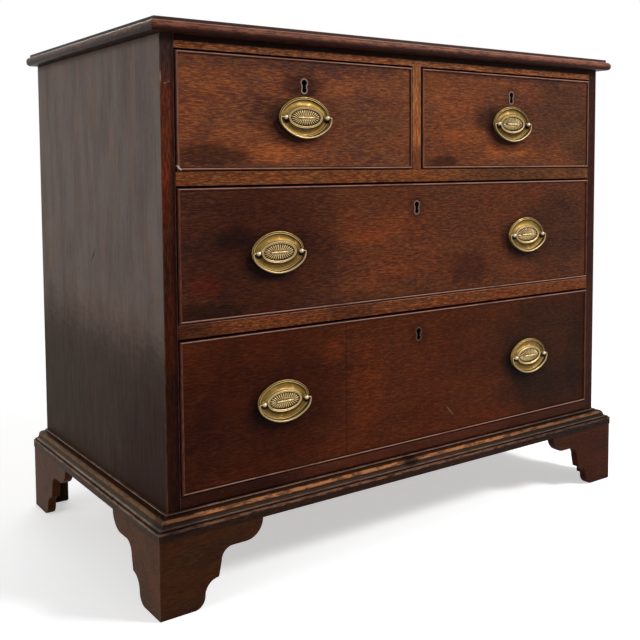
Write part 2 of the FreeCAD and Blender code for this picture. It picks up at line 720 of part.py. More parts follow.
def bail_solid():
    """Swinging bail: drawn wire with a pin at each end that turns in its post."""
    start = POST_SPACING / 2 + POST_BALL_RADIUS + BAIL_GAP
    half = BAIL_WIDTH / 2 - BAIL_RADIUS
    corner = BAIL_CORNER_RADIUS
    right, top, left, low = oval_arcs(2 * half, 2 * (BAIL_DROP - corner), BAIL_SHOULDER_RADIUS)
    turn = right[3]
    shoulder = right[0][0]
    line = outline_edges(lambda u, v: Vec(u, HINGE_Y, v), (start, 0.0), [
        (half - corner, 0.0),
        arc((half - corner, -corner), corner, 90, 0),
        arc((shoulder, -corner), BAIL_SHOULDER_RADIUS, 0, -turn),
        arc((0.0, low[0][1] - corner), low[1], -turn, turn - 180),
        arc((-shoulder, -corner), BAIL_SHOULDER_RADIUS, turn - 180, -180),
        arc((corner - half, -corner), corner, 180, 90),
        (-start, 0.0),
    ])
    corners = [on_circle((HINGE_Y, 0.0), BAIL_RADIUS, 360 * i / BAIL_SECTION_SIDES)
               for i in range(BAIL_SECTION_SIDES)]
    section = outline_face(lambda y, z: Vec(start, y, z), corners[0], corners[1:])
    loop = Part.Wire(line).makePipe(section)
    inner = POST_SPACING / 2 + POST_BALL_RADIUS - PIN_DEPTH
    pins = [Part.makeCylinder(PIN_RADIUS, start - inner, Vec(side * inner, HINGE_Y, 0),
                              Vec(side, 0, 0)) for side in (-1, 1)]
    return fused([loop] + pins)


# ---- drawers ----

def tails(x0, x1, y0, y1, z0, z1, wide_at_y0):
    """Dovetail tails on the end of a drawer side, spread over a height."""
    count = max(2, round((z1 - z0) / TAIL_PITCH))
    pitch = (z1 - z0) / count
    flare = TAIL_SLOPE * (y1 - y0)
    pieces = []
    for i in range(count):
        middle = z0 + (i + 0.5) * pitch
        wide = TAIL_SHARE * pitch / 2
        narrow = wide - flare
        front, rear = (wide, narrow) if wide_at_y0 else (narrow, wide)
        points = [(y0, middle - front), (y1, middle - rear),
                  (y1, middle + rear), (y0, middle + front)]
        face = outline_face(lambda y, z: Vec(x0, y, z), points[0], points[1:])
        pieces.append(face.extrude(Vec(x1 - x0, 0, 0)))
    return pieces


def cockbead_strips(x0, x1, z0, z1):
    """Four rounded strips, mitred round the edge of a drawer front."""
    nose = BEAD_THICKNESS / 2
    face_y = FRONT - BEAD_PROUD
    rear_y = FRONT + BEAD_DEPTH

    def strip_outline(place):
        return outline_face(place, (0.0, rear_y), [
            (0.0, face_y + nose),
            arc((nose, face_y + nose), nose, 180, 360),
            (BEAD_THICKNESS, rear_y),
        ])
    t = BEAD_THICKNESS
    low = strip_outline(lambda d, y: Vec(x0, y, z0 + d)).extrude(Vec(x1 - x0, 0, 0))
    high = strip_outline(lambda d, y: Vec(x0, y, z1 - d)).extrude(Vec(x1 - x0, 0, 0))
    left = strip_outline(lambda d, y: Vec(x0 + d, y, z0)).extrude(Vec(0, 0, z1 - z0))
    right = strip_outline(lambda d, y: Vec(x1 - d, y, z0)).extrude(Vec(0, 0, z1 - z0))
    keeps = [
        (low, [(x0, z0), (x1, z0), (x1 - t, z0 + t), (x0 + t, z0 + t)]),
        (high, [(x0, z1), (x1, z1), (x1 - t, z1 - t), (x0 + t, z1 - t)]),
        (left, [(x0, z0), (x0 + t, z0 + t), (x0 + t, z1 - t), (x0, z1)]),
        (right, [(x1, z0), (x1 - t, z0 + t), (x1 - t, z1 - t), (x1, z1)]),
    ]
    return [strip.common(elevation_prism(keep, face_y, rear_y)) for strip, keep in keeps]


def drawer_front(x0, x1, z0, z1):
    """Front board, rebated round its face for the cockbead."""
    t = BEAD_THICKNESS
    rear = block(x0, x1, FRONT + BEAD_DEPTH, FRONT_INSIDE, z0, z1)
    face = block(x0 + t, x1 - t, FRONT, FRONT_INSIDE, z0 + t, z1 - t)
    return fused([rear, face])


def make_drawer(name, opening, handle_xs, handle_drop, key_x, key_drop):
    """One drawer in its opening: dovetailed box, cockbead, lock, keyhole and handles.

    The opening is its left, right, lower and upper limits. Returns the handles' places."""
    x0, x1 = opening[0] + DRAWER_SIDE_GAP, opening[1] - DRAWER_SIDE_GAP
    z0, z1 = opening[2] + DRAWER_BOTTOM_GAP, opening[3] - DRAWER_TOP_GAP
    key_z = opening[3] - key_drop
    handle_z = (opening[2] + opening[3]) / 2 - handle_drop
    thick = DRAWER_SIDE_THICKNESS
    side_top = z1 - SIDE_TOP_DROP
    floor_z0 = z0 + DRAWER_BOTTOM_LIFT
    floor_z1 = floor_z0 + DRAWER_BOTTOM_THICKNESS
    back_top = side_top - BACK_TOP_DROP
    tail_y0 = FRONT_INSIDE - LAP_TAIL_LENGTH
    back_y0 = DRAWER_END - DRAWER_BACK_THICKNESS

    floor = block(x0 + thick - DRAWER_GROOVE_DEPTH, x1 - thick + DRAWER_GROOVE_DEPTH,
                  FRONT_INSIDE - DRAWER_GROOVE_DEPTH, DRAWER_END, floor_z0, floor_z1)
    front = drawer_front(x0, x1, z0, z1)
    back = block(x0, x1, back_y0, DRAWER_END, floor_z1, back_top)
    sides = []
    for side_x in (x0, x1 - thick):
        side = block(side_x, side_x + thick, tail_y0, DRAWER_END, z0, side_top)
        for tail in tails(side_x, side_x + thick, tail_y0, FRONT_INSIDE,
                          floor_z1, side_top, True):
            front = front.cut(tail)
        for tail in tails(side_x, side_x + thick, back_y0, DRAWER_END,
                          floor_z1, back_top, False):
            back = back.cut(tail)
        sides.append(side)
    sides = [side.cut(front).cut(back).cut(floor) for side in sides]

    case = lock_case(key_x, z1)
    front = front.cut(floor).cut(case)
    front = front.cut(keyhole_prism(key_x, key_z, 0, FRONT, FRONT_INSIDE))
    front = front.cut(escutcheon_body(key_x, key_z, FRONT, FRONT + ESCUTCHEON_DEPTH))
    places = [(x, handle_z) for x in handle_xs]
    for place in places:
        for post_x, pin_side in POSTS:
            front = front.cut(placed(post_hole(post_x, FRONT, FRONT_INSIDE), *place))
    save(name + "_front", front)
    save(name + "_sides", *sides)
    save(name + "_back", back)
    save(name + "_bottom", floor)
    save(name + "_cockbead", *cockbead_strips(x0, x1, z0, z1))

    case_front = FRONT_INSIDE - LOCK_THICKNESS
    case = case.cut(lock_bolt(key_x, z1, BOLT_CLEARANCE))
    case = case.cut(keyhole_prism(key_x, key_z, 0, case_front, case_front + KEYHOLE_DEPTH_IN_LOCK))
    save(name + "_lock", case)
    save(name + "_lock_bolt", lock_bolt(key_x, z1, 0))
    rim = escutcheon_body(key_x, key_z, FRONT - ESCUTCHEON_PROUD, FRONT + ESCUTCHEON_DEPTH)
    rim = rim.cut(keyhole_prism(key_x, key_z, 0, FRONT - ESCUTCHEON_PROUD,
                                FRONT + ESCUTCHEON_DEPTH))
    save(name + "_escutcheon", rim)
    handle = handle_solids()
    save(name + "_handles", *[placed(piece, *place) for place in places for piece in handle])
    return places


def make_drawers():
    """Two short drawers over two long ones, with their bails."""
    half_muntin = MUNTIN_WIDTH / 2
    left = make_drawer("drawer_top_left", (-INNER, -half_muntin, Z_UPPER, Z_TOP_RAIL_UNDER),
                       [-SHORT_MIDDLE], SHORT_HANDLE_DROP, -SHORT_MIDDLE, KEYHOLE_DROP)
    right = make_drawer("drawer_top_right", (half_muntin, INNER, Z_UPPER, Z_TOP_RAIL_UNDER),
                        [SHORT_MIDDLE], SHORT_HANDLE_DROP, SHORT_MIDDLE, KEYHOLE_DROP)
    xs = [MIDDLE_HANDLE_SHIFT - HANDLE_OFFSET, MIDDLE_HANDLE_SHIFT + HANDLE_OFFSET]
    middle = make_drawer("drawer_middle", (-INNER, INNER, Z_LOWER, Z_UPPER_UNDER),
                         xs, MIDDLE_HANDLE_DROP, 0.0, KEYHOLE_DROP)
    xs = [BOTTOM_HANDLE_SHIFT - HANDLE_OFFSET, BOTTOM_HANDLE_SHIFT + HANDLE_OFFSET]
    bottom = make_drawer("drawer_bottom", (-INNER, INNER, Z_BOTTOM, Z_LOWER_UNDER),
                         xs, BOTTOM_HANDLE_DROP, BOTTOM_KEYHOLE_SHIFT, BOTTOM_KEYHOLE_DROP)
    names = ["top_left", "top_right", "middle_left", "middle_right", "bottom_left", "bottom_right"]
    bail = bail_solid()
    for name, place in zip(names, left + right + middle + bottom):
        save("bail_" + name, placed(bail, *place))


os.makedirs("parts", exist_ok=True)
make_top()
make_sides()
make_rails()
make_muntin()
make_boards()
make_strips()
make_back()
make_base_moulding()
make_feet()
make_drawers()
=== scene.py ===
"""Finishes for a bachelors chest: worn mahogany, toned brass, oak drawer linings and pine."""
import json
import math
from dataclasses import dataclass
from typing import NamedTuple

import bmesh
import bpy
from mathutils import Matrix, Vector

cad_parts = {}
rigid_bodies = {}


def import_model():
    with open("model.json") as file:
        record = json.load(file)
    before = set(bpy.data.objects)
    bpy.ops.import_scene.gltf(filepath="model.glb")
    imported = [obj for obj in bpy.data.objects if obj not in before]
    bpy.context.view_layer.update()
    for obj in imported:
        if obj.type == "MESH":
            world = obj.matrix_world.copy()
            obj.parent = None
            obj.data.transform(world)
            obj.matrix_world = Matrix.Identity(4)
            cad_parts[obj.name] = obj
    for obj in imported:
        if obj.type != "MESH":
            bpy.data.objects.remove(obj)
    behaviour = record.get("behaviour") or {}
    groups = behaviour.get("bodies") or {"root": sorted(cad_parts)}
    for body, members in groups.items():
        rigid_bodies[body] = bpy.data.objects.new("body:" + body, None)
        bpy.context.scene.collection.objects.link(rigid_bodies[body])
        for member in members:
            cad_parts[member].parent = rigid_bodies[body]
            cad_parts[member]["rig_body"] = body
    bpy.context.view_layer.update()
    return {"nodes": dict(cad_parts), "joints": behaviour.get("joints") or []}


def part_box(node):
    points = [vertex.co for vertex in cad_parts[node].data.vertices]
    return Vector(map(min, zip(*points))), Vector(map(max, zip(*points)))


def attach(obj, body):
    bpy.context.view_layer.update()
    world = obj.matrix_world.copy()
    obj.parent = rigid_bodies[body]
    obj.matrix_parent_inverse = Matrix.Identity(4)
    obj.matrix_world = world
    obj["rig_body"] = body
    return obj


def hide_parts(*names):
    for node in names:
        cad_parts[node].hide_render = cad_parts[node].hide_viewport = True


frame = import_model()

MM = 0.001
NODES = frame["nodes"]
DRAWERS = ["drawer_top_left", "drawer_top_right", "drawer_middle", "drawer_bottom"]


# ---- places on the chest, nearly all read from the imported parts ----

# The front and back of the drawer fronts, in metres.
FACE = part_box("drawer_middle_front")[0].y
FRONT_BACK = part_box("drawer_middle_front")[1].y
# On the mitre of each front corner, |x| + y has this value, in metres.
MITRE_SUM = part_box("top_rail")[0].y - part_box("side_left")[0].x
# From the middle of a handle to each of its posts, in metres.
POST_SPREAD = 36 * MM

# The rest is in millimetres, as the marks on the wood are.
FACE_MM = FACE / MM
TOP_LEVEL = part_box("top")[1].z / MM
TOP_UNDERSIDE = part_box("top")[0].z / MM
MOULDING_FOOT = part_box("base_moulding")[0].z / MM
FASCIA_TOP = MOULDING_FOOT + 13.0
RAIL_FOOT = MOULDING_FOOT + 28.2
LOWER_RAIL_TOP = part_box("drawer_middle_cockbead")[0].z / MM
UPPER_RAIL_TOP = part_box("drawer_top_left_cockbead")[0].z / MM
SIDE_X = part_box("side_right")[1].x / MM


def handle_places(drawer):
    """Each bail of a drawer and the middle of its hinge, in metres."""
    return [(joint["child"], Vector(joint["pos_m"])) for joint in frame["joints"]
            if joint["type"] == "hinge" and joint["parent"] == drawer]


def post_places(hinge):
    """Where the two posts of a handle stand, across the chest, in metres."""
    return [hinge.x - POST_SPREAD, hinge.x + POST_SPREAD]


def keyhole_place(drawer):
    low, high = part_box(drawer + "_escutcheon")
    return (low + high) / 2


# ---- colours ----

def tone(red, green, blue):
    """A colour from its display values, 0 to 255, as the renderer wants it."""
    def linear(value):
        value /= 255.0
        return value / 12.92 if value <= 0.04045 else ((value + 0.055) / 1.055) ** 2.4
    return (linear(red), linear(green), linear(blue), 1.0)


def tint(red, green, blue):
    """A multiplier for a colour that is already there."""
    return (red, green, blue, 1.0)


PLAIN = tint(1, 1, 1)
PORE_BROWN = tone(26, 11, 8)
# A multiplier for dirt and for painted shade in hollows and corners.
GRIME_AND_SHADE = tint(0.26, 0.20, 0.18)
RUBBED = tone(150, 108, 88)
SCRATCH_PALE = tone(150, 108, 90)
STAIN = tint(0.66, 0.64, 0.70)
DEEP_STAIN = tint(0.42, 0.42, 0.50)
INKY = tint(0.16, 0.15, 0.17)
RED_CAST = tint(1.16, 0.94, 0.84)
PLUM_CAST = tint(0.84, 0.94, 1.06)
WARM = tint(1.30, 1.20, 1.08)
GOLDEN = tint(1.60, 1.50, 1.22)
REDDENED = tint(1.50, 0.95, 0.85)
DUST_GREY = tone(150, 138, 122)
# Painted shade on the tops of beads.
BEAD_TOP_SHADE = tone(26, 10, 6)


# ---- wiring of shader nodes ----

class Wiring:
    """Adds nodes to one material or group and joins their sockets."""

    def __init__(self, tree):
        self.tree = tree

    def feed(self, socket, value):
        if isinstance(value, bpy.types.NodeSocket):
            self.tree.links.new(value, socket)
        else:
            socket.default_value = value

    def node(self, kind, feeds=None, **settings):
        made = self.tree.nodes.new("ShaderNode" + kind)
        for name, value in settings.items():
            setattr(made, name, value)
        for name, value in (feeds or {}).items():
            self.feed(made.inputs[name], value)
        return made

    def maths(self, operation, first, second=0.0):
        return self.node("Math", {0: first, 1: second}, operation=operation).outputs[0]

    def times(self, first, second):
        return self.maths("MULTIPLY", first, second)

    def plus(self, first, second):
        return self.maths("ADD", first, second)

    def minus(self, first, second):
        return self.maths("SUBTRACT", first, second)

    def larger(self, first, second):
        return self.maths("MAXIMUM", first, second)

    def span(self, value, low, high, out_low=0.0, out_high=1.0):
        """Eases a value that runs from low to high into out_low to out_high."""
        feeds = {"Value": value, "From Min": low, "From Max": high,
                 "To Min": out_low, "To Max": out_high}
        return self.node("MapRange", feeds, interpolation_type="SMOOTHSTEP").outputs["Result"]

    def mix(self, amount, first, second, how="MIX"):
        made = self.node("Mix", {0: amount, 6: first, 7: second}, data_type="RGBA", blend_type=how)
        return made.outputs[2]

    def mapped(self, vector, scale=(1, 1, 1), turn=(0, 0, 0), shift=(0, 0, 0)):
        feeds = {"Vector": vector, "Location": shift, "Rotation": turn, "Scale": scale}
        return self.node("Mapping", feeds).outputs["Vector"]

    def noise(self, vector, scale=1.0, detail=2.0, roughness=0.5):
        feeds = {"Vector": vector, "Scale": scale, "Detail": detail, "Roughness": roughness}
        return self.node("TexNoise", feeds).outputs

    def clouds(self, vector, scale=1.0, detail=2.0, roughness=0.5):
        """Noise as one value, between 0 and 1 with most of it near a half."""
        return self.noise(vector, scale, detail, roughness)["Fac"]

    def vector(self, operation, first, second):
        return self.node("VectorMath", {0: first, 1: second}, operation=operation).outputs[0]

    def length(self, vector):
        return self.node("VectorMath", {0: vector}, operation="LENGTH").outputs["Value"]

    def part(self, vector, axis):
        return self.node("SeparateXYZ", {0: vector}).outputs[axis]

    def place(self):
        return self.node("TexCoord").outputs["Object"]

    def normal(self):
        return self.node("NewGeometry").outputs["Normal"]

    def group(self, tree, feeds):
        made = self.tree.nodes.new("ShaderNodeGroup")
        made.node_tree = tree
        for name, value in feeds.items():
            self.feed(made.inputs[name], value)
        return made.outputs

    def mask(self, tree, place, **feeds):
        """The mask that one of the shared effects gives at a place."""
        return self.group(tree, {"Place": place, **feeds})["Mask"]


def new_group(name, numbers=(), vectors=("Place",), gives=("Mask",)):
    """An empty node group: its wiring, the sockets that come in and those that go out."""
    tree = bpy.data.node_groups.new(name, "ShaderNodeTree")
    for direction, kind, labels in (("INPUT", "NodeSocketVector", vectors),
                                    ("INPUT", "NodeSocketFloat", numbers),
                                    ("OUTPUT", "NodeSocketFloat", gives)):
        for label in labels:
            tree.interface.new_socket(label, in_out=direction, socket_type=kind)
    entry = tree.nodes.new("NodeGroupInput")
    leave = tree.nodes.new("NodeGroupOutput")
    return Wiring(tree), entry.outputs, leave.inputs


# ---- effects shared by the finishes ----

# How often each part of the grain repeats in a metre: along the grain, then across it.
WANDER_SCALE = (3, 9, 9)
FIGURE_SCALE = (7, 30, 30)
CAST_SCALE = (9, 26, 26)
CAST_SHIFT = (3, 5, 7)
STREAK_SCALE = (16, 260, 260)
FLECK_SCALE = (85, 640, 640)
PORE_SCALE = (70, 1100, 1100)
# How far flecks stand out and pores go in, as shares of a wood's relief.
FLECK_HEIGHT = 0.5
PORE_DEPTH = 0.6


def make_timber_grain():
    """Grain along X of Place: broad figure and cast, streaks, fine flecks and open pores."""
    wires, given, gives = new_group(
        "timber_grain", ["Wander"],
        gives=["Figure", "Cast", "Streak", "Fleck", "Pore", "Height"])
    drift = wires.noise(wires.mapped(given["Place"], WANDER_SCALE))["Color"]
    drift = wires.vector("SUBTRACT", drift, (0.5, 0.5, 0.5))
    amount = wires.node("CombineXYZ", {0: 0.0, 1: given["Wander"], 2: given["Wander"]}).outputs[0]
    drift = wires.vector("MULTIPLY", drift, amount)
    place = wires.vector("ADD", given["Place"], drift)
    figure = wires.clouds(wires.mapped(place, FIGURE_SCALE), detail=3.0, roughness=0.55)
    cast = wires.clouds(wires.mapped(place, CAST_SCALE, shift=CAST_SHIFT), detail=4.0,
                        roughness=0.6)
    streak = wires.clouds(wires.mapped(place, STREAK_SCALE), detail=4.0, roughness=0.66)
    fleck = wires.clouds(wires.mapped(place, FLECK_SCALE), detail=4.0, roughness=0.72)
    pore = wires.clouds(wires.mapped(place, PORE_SCALE), detail=2.0, roughness=0.6)
    pore = wires.span(pore, 0.54, 0.66)
    height = wires.minus(wires.times(fleck, FLECK_HEIGHT), wires.times(pore, PORE_DEPTH))
    for label, value in (("Figure", figure), ("Cast", cast), ("Streak", streak),
                         ("Fleck", fleck), ("Pore", pore), ("Height", height)):
        wires.feed(gives[label], value)
    return wires.tree


# How many rays look for an edge or a hollow.
CORNER_SAMPLES = 6


def make_rubbed_edges():
    """Mask of the outer edges, where the finish has been rubbed away unevenly."""
    wires, given, gives = new_group("rubbed_edges", ["Reach", "Amount"])
    inner = wires.node("AmbientOcclusion", {"Distance": given["Reach"]}, inside=True,
                       only_local=True, samples=CORNER_SAMPLES).outputs["AO"]
    edge = wires.span(wires.minus(1.0, inner), 0.22, 0.62)
    uneven = wires.clouds(given["Place"], 38.0, 4.0, 0.65)
    uneven = wires.span(uneven, 0.36, 0.60, 0.25, 1.0)
    wires.feed(gives["Mask"], wires.times(wires.times(edge, uneven), given["Amount"]))
    return wires.tree


def make_dirt_and_shade():
    """Mask of the inner corners and hollows, where wax and dirt have gathered and where shade is
    painted.
    """
    wires, given, gives = new_group("dirt_and_painted_shade", ["Reach", "Amount"])
    outer = wires.node("AmbientOcclusion", {"Distance": given["Reach"]},
                       samples=CORNER_SAMPLES).outputs["AO"]
    hollow = wires.span(wires.minus(1.0, outer), 0.20, 0.85)
    uneven = wires.clouds(given["Place"], 55.0, 3.0, 0.6)
    uneven = wires.span(uneven, 0.30, 0.65, 0.55, 1.0)
    wires.feed(gives["Mask"], wires.times(wires.times(hollow, uneven), given["Amount"]))
    return wires.tree


# Each direction of fine scratches: its turn in radians, how often along and across in a metre.
SCRATCH_DIRECTIONS = ((0.35, 9.0, 620.0), (-0.9, 12.0, 760.0))


def make_fine_scratches():
    """Mask of short fine scratches in two directions, gathered in places."""
    wires, given, gives = new_group("fine_scratches", ["Amount"])
    masks = []
    for turn, along, across in SCRATCH_DIRECTIONS:
        place = wires.mapped(given["Place"], turn=(turn, turn, turn * 0.7))
        line = wires.clouds(wires.mapped(place, (along, across, across)), detail=1.0)
        masks.append(wires.span(line, 0.70, 0.78))
    where = wires.clouds(given["Place"], 7.0, 2.0)
    both = wires.larger(masks[0], masks[1])
    both = wires.times(both, wires.span(where, 0.42, 0.62))
    wires.feed(gives["Mask"], wires.times(both, given["Amount"]))
    return wires.tree


def make_soft_patch():
    """Mask of one ragged soft-edged patch round a centre."""
    wires, given, gives = new_group("soft_patch", ["Ragged"], ["Place", "Centre", "Spread"])
    away = wires.vector("DIVIDE", wires.vector("SUBTRACT", given["Place"], given["Centre"]),
                        given["Spread"])
    far = wires.length(away)
    ripple = wires.clouds(given["Place"], 26.0, 4.0, 0.6)
    ripple = wires.times(wires.minus(ripple, 0.5), given["Ragged"])
    far = wires.plus(far, wires.times(ripple, 2.0))
    wires.feed(gives["Mask"], wires.span(far, 1.15, 0.45))
    return wires.tree


def make_dust():
    """Mask of the dust that lies on faces that look up."""
    wires, given, gives = new_group("lying_dust", ["Amount"])
    up = wires.part(wires.normal(), "Z")
    drifts = wires.clouds(given["Place"], 30.0, 4.0, 0.6)
    mask = wires.times(wires.span(up, 0.55, 0.95), wires.span(drifts, 0.25, 0.75, 0.4, 1.0))
    wires.feed(gives["Mask"], wires.times(mask, given["Amount"]))
    return wires.tree


# How often the ripples and the gaps of a band repeat in a metre.
BAND_RIPPLE_SCALE = (60, 60, 160)
BAND_GAP_SCALE = (46, 46, 190)


def make_level_band():
    """Mask of a band between two levels, in millimetres, with soft and ragged limits."""
    wires, given, gives = new_group("level_band", ["Low", "High", "Soft", "Ragged", "Broken"])
    ripple = wires.mapped(given["Place"], BAND_RIPPLE_SCALE)
    ripple = wires.minus(wires.clouds(ripple, detail=3.0, roughness=0.6), 0.5)
    level = wires.times(wires.part(given["Place"], "Z"), 1 / MM)
    level = wires.plus(level, wires.times(ripple, given["Ragged"]))
    low_side = wires.maths("DIVIDE", wires.minus(level, given["Low"]), given["Soft"])
    high_side = wires.maths("DIVIDE", wires.minus(given["High"], level), given["Soft"])
    inside = wires.times(wires.span(low_side, -1.0, 1.0), wires.span(high_side, -1.0, 1.0))
    gaps = wires.mapped(given["Place"], BAND_GAP_SCALE)
    gaps = wires.span(wires.clouds(gaps, detail=4.0, roughness=0.68), 0.56, 0.42)
    gaps = wires.times(gaps, given["Broken"])
    wires.feed(gives["Mask"], wires.times(inside, wires.minus(1.0, gaps)))
    return wires.tree


# Half the width, in metres, of the soft limit between the front and a side at a mitre.
MITRE_SOFTNESS = 0.2 * MM


def make_facing():
    """How far a face looks to the front and upwards, and whether it is round the corner."""
    wires, given, gives = new_group("facing", gives=["Front", "Side", "Rise"])
    normal = wires.normal()
    rise = wires.part(normal, "Z")
    wires.feed(gives["Front"], wires.span(wires.part(normal, "Y"), -0.60, -0.95))
    wires.feed(gives["Rise"], rise)
    across = wires.maths("ABSOLUTE", wires.part(given["Place"], "X"))
    mitre = wires.plus(across, wires.part(given["Place"], "Y"))
    beyond = wires.span(mitre, MITRE_SUM - MITRE_SOFTNESS, MITRE_SUM + MITRE_SOFTNESS)
    wires.feed(gives["Side"], wires.times(beyond, wires.span(rise, 0.99, 0.93)))
    return wires.tree


TIMBER = make_timber_grain()
EDGES = make_rubbed_edges()
DIRT_AND_SHADE = make_dirt_and_shade()
SCRATCHES = make_fine_scratches()
PATCH = make_soft_patch()
DUST = make_dust()
BAND = make_level_band()
FACING = make_facing()

# How Object coordinates are turned so that the grain runs along X, Y or Z.
GRAIN_TURN = {"X": (0, 0, 0), "Y": (0, 0, math.pi / 2), "Z": (0, math.pi / 2, 0)}


def new_material(name, slot_colour):
    """A material with its shader, and the wiring of its nodes."""
    material = bpy.data.materials.new(name)
    material.use_nodes = True
    material.diffuse_color = slot_colour
    shader = material.node_tree.nodes["Principled BSDF"]
    return material, shader, Wiring(material.node_tree)


def add_bump(wires, shader, height, distance):
    bump = wires.node("Bump", {"Height": height, "Distance": distance})
    wires.feed(shader.inputs["Normal"], bump.outputs["Normal"])


# ---- marks on a surface, in millimetres ----

class Patch(NamedTuple):
    """A soft-edged ragged place whose colour is multiplied."""
    centre: tuple
    spread: tuple
    change: tuple
    ragged: float


class Band(NamedTuple):
    """A stretch between two levels that has a colour of its own."""
    low: float
    high: float
    soft: float
    ragged: float
    broken: float
    share_on_front: float
    share_on_sides: float
    colour: tuple


class Scar(NamedTuple):
    """A long thin mark; turn is how it lies, in radians about X, Y and Z."""
    centre: tuple
    turn: tuple
    spread: tuple
    colour: tuple


class Line(NamedTuple):
    """An upright line, such as a joint in the veneer."""
    x: float
    half_width: float
    share: float
    colour: tuple


class Leaf(NamedTuple):
    """The veneer to the left of a joint, whose colour is multiplied."""
    right_edge: float
    change: tuple


# How deep into the wood the marks of the front faces go.
PATCH_DEPTH = 40.0
SCAR_DEPTH = 9


def front_patch(across, level, width, height, change, ragged=0.55):
    """A patch on the face of a drawer, a rail, a stile or the muntin."""
    return Patch((across, FACE_MM, level), (width, PATCH_DEPTH, height), change, ragged)


def on_front(*rows):
    return [front_patch(*row) for row in rows]


def front_scar(across, level, turn, length, width, colour):
    """A scar on one of the front faces, turned in its plane."""
    return Scar((across, FACE_MM, level), (0, turn, 0), (length, SCAR_DEPTH, width), colour)


def bands_from(level, *rows):
    """Bands whose limits are counted from one level."""
    return [Band(level + low, level + high, *rest) for low, high, *rest in rows]


def metres(values):
    return [value * MM for value in values]


@dataclass
class Timber:
    """What one wooden surface looks like.

    Colours: dark, body and bright growth, and the rubbed edges. Shares from 0 to 1: cast,
    streaks, flecks, shades, pores, rub, dirt, the dirt and painted shade in hollows and
    corners, scratched, dust, and crown, the wear and painted sheen along a rounded
    bead. Reaches, wander and relief are in metres.
    """
    dark: tuple
    body: tuple
    bright: tuple
    along: str = "X"
    shift: tuple = (0, 0, 0)
    cast: float = 0.8
    streaks: float = 0.20
    flecks: float = 0.75
    shades: float = 0.75
    pores: float = 0.5
    wander: float = 0.012
    patches: tuple = ()
    bands: tuple = ()
    lines: tuple = ()
    scars: tuple = ()
    leaves: tuple = ()
    # side_tint is painted shade and sheen on the faces round the corner.
    side_tint: tuple = PLAIN
    # edge_tint is painted shade on faces that do not look forward, as inside the openings.
    edge_tint: tuple = PLAIN
    crown: float = 0.0
    rub: float = 0.7
    rub_reach: float = 0.0022
    rubbed: tuple = RUBBED
    dirt: float = 0.85
    dirt_reach: float = 0.012
    scratched: float = 0.4
    dust: float = 0.0
    polish: float = 0.42
    gloss: float = 0.035
    relief: float = 0.00018


# Where the noise of each part of the grain begins to show and where it shows in full.
FIGURE_SPAN = (0.28, 0.66)
CAST_SPAN = (0.38, 0.62)
STREAK_SPAN = (0.46, 0.70)
BRIGHT_FLECK_SPAN = (0.46, 0.63)
DARK_FLECK_SPAN = (0.50, 0.36)


def grained_colour(wires, grain, look):
    """The wood itself: dark and light growth, streaks, bright and dark flecks, open pores."""
    colour = wires.mix(wires.span(grain["Figure"], *FIGURE_SPAN), look.dark, look.body)
    cast = wires.mix(wires.span(grain["Cast"], *CAST_SPAN), PLUM_CAST, RED_CAST)
    colour = wires.mix(look.cast, colour, cast, "MULTIPLY")
    for part, limits, share, growth in (("Streak", STREAK_SPAN, look.streaks, look.bright),
                                        ("Fleck", BRIGHT_FLECK_SPAN, look.flecks, look.bright),
                                        ("Fleck", DARK_FLECK_SPAN, look.shades, look.dark)):
        mask = wires.times(wires.span(grain[part], *limits), share)
        colour = wires.mix(mask, colour, growth)
    return wires.mix(wires.times(grain["Pore"], look.pores), colour, PORE_BROWN)


# Half the width, in millimetres, of the soft limit between two leaves of veneer.
LEAF_SOFTNESS = 0.6


def marked_colour(wires, place, facing, colour, look):
    """The places that sun, wax, wear and use have changed."""
    for band in look.bands:
        mask = wires.mask(BAND, place, Low=band.low, High=band.high, Soft=band.soft,
                          Ragged=band.ragged, Broken=band.broken)
        share = wires.span(facing["Side"], 0.0, 1.0, band.share_on_front, band.share_on_sides)
        colour = wires.mix(wires.times(mask, share), colour, band.colour)
    for patch in look.patches:
        mask = wires.mask(PATCH, place, Centre=metres(patch.centre), Spread=metres(patch.spread),
                          Ragged=patch.ragged)
        colour = wires.mix(mask, colour, patch.change, "MULTIPLY")
    for scar in look.scars:
        local = wires.vector("SUBTRACT", place, metres(scar.centre))
        local = wires.mapped(local, turn=scar.turn)
        mask = wires.mask(PATCH, local, Centre=(0, 0, 0), Spread=metres(scar.spread), Ragged=0.0)
        colour = wires.mix(mask, colour, scar.colour)
    across = wires.part(place, "X")
    for leaf in look.leaves:
        beside = wires.span(across, (leaf.right_edge + LEAF_SOFTNESS) * MM,
                            (leaf.right_edge - LEAF_SOFTNESS) * MM)
        colour = wires.mix(beside, colour, leaf.change, "MULTIPLY")
    for line in look.lines:
        away = wires.maths("ABSOLUTE", wires.minus(across, line.x * MM))
        mask = wires.span(away, line.half_width * MM, line.half_width * MM * 0.3)
        colour = wires.mix(wires.times(mask, line.share), colour, line.colour)
    return colour


def bead_crown_wear_and_sheen(wires, grain, facing):
    """Mask of the upper front of a rounded bead, where hands and dusters have worn it and where a
    painted sheen lies.
    """
    rise = facing["Rise"]
    worn = wires.times(wires.span(rise, -0.22, 0.02), wires.span(rise, 0.62, 0.38))
    worn = wires.times(worn, facing["Front"])
    return wires.times(worn, wires.span(grain["Streak"], 0.36, 0.52, 0.45, 1.0))


def uneven_polish(wires, noise, polish):
    """Roughness that is a little higher where a noise is low."""
    return wires.span(noise, 0.3, 0.7, polish + 0.10, polish - 0.04)


# How much dirt and dust take from the polish.
DIRT_ROUGHNESS = 0.22
DUST_ROUGHNESS = 0.35
# How often dents repeat in a metre, and how deep dents and scratches are, as shares of the relief.
DENT_SCALE = 60.0
DENT_DEPTH = 1.2
SCRATCH_DEPTH = 0.8


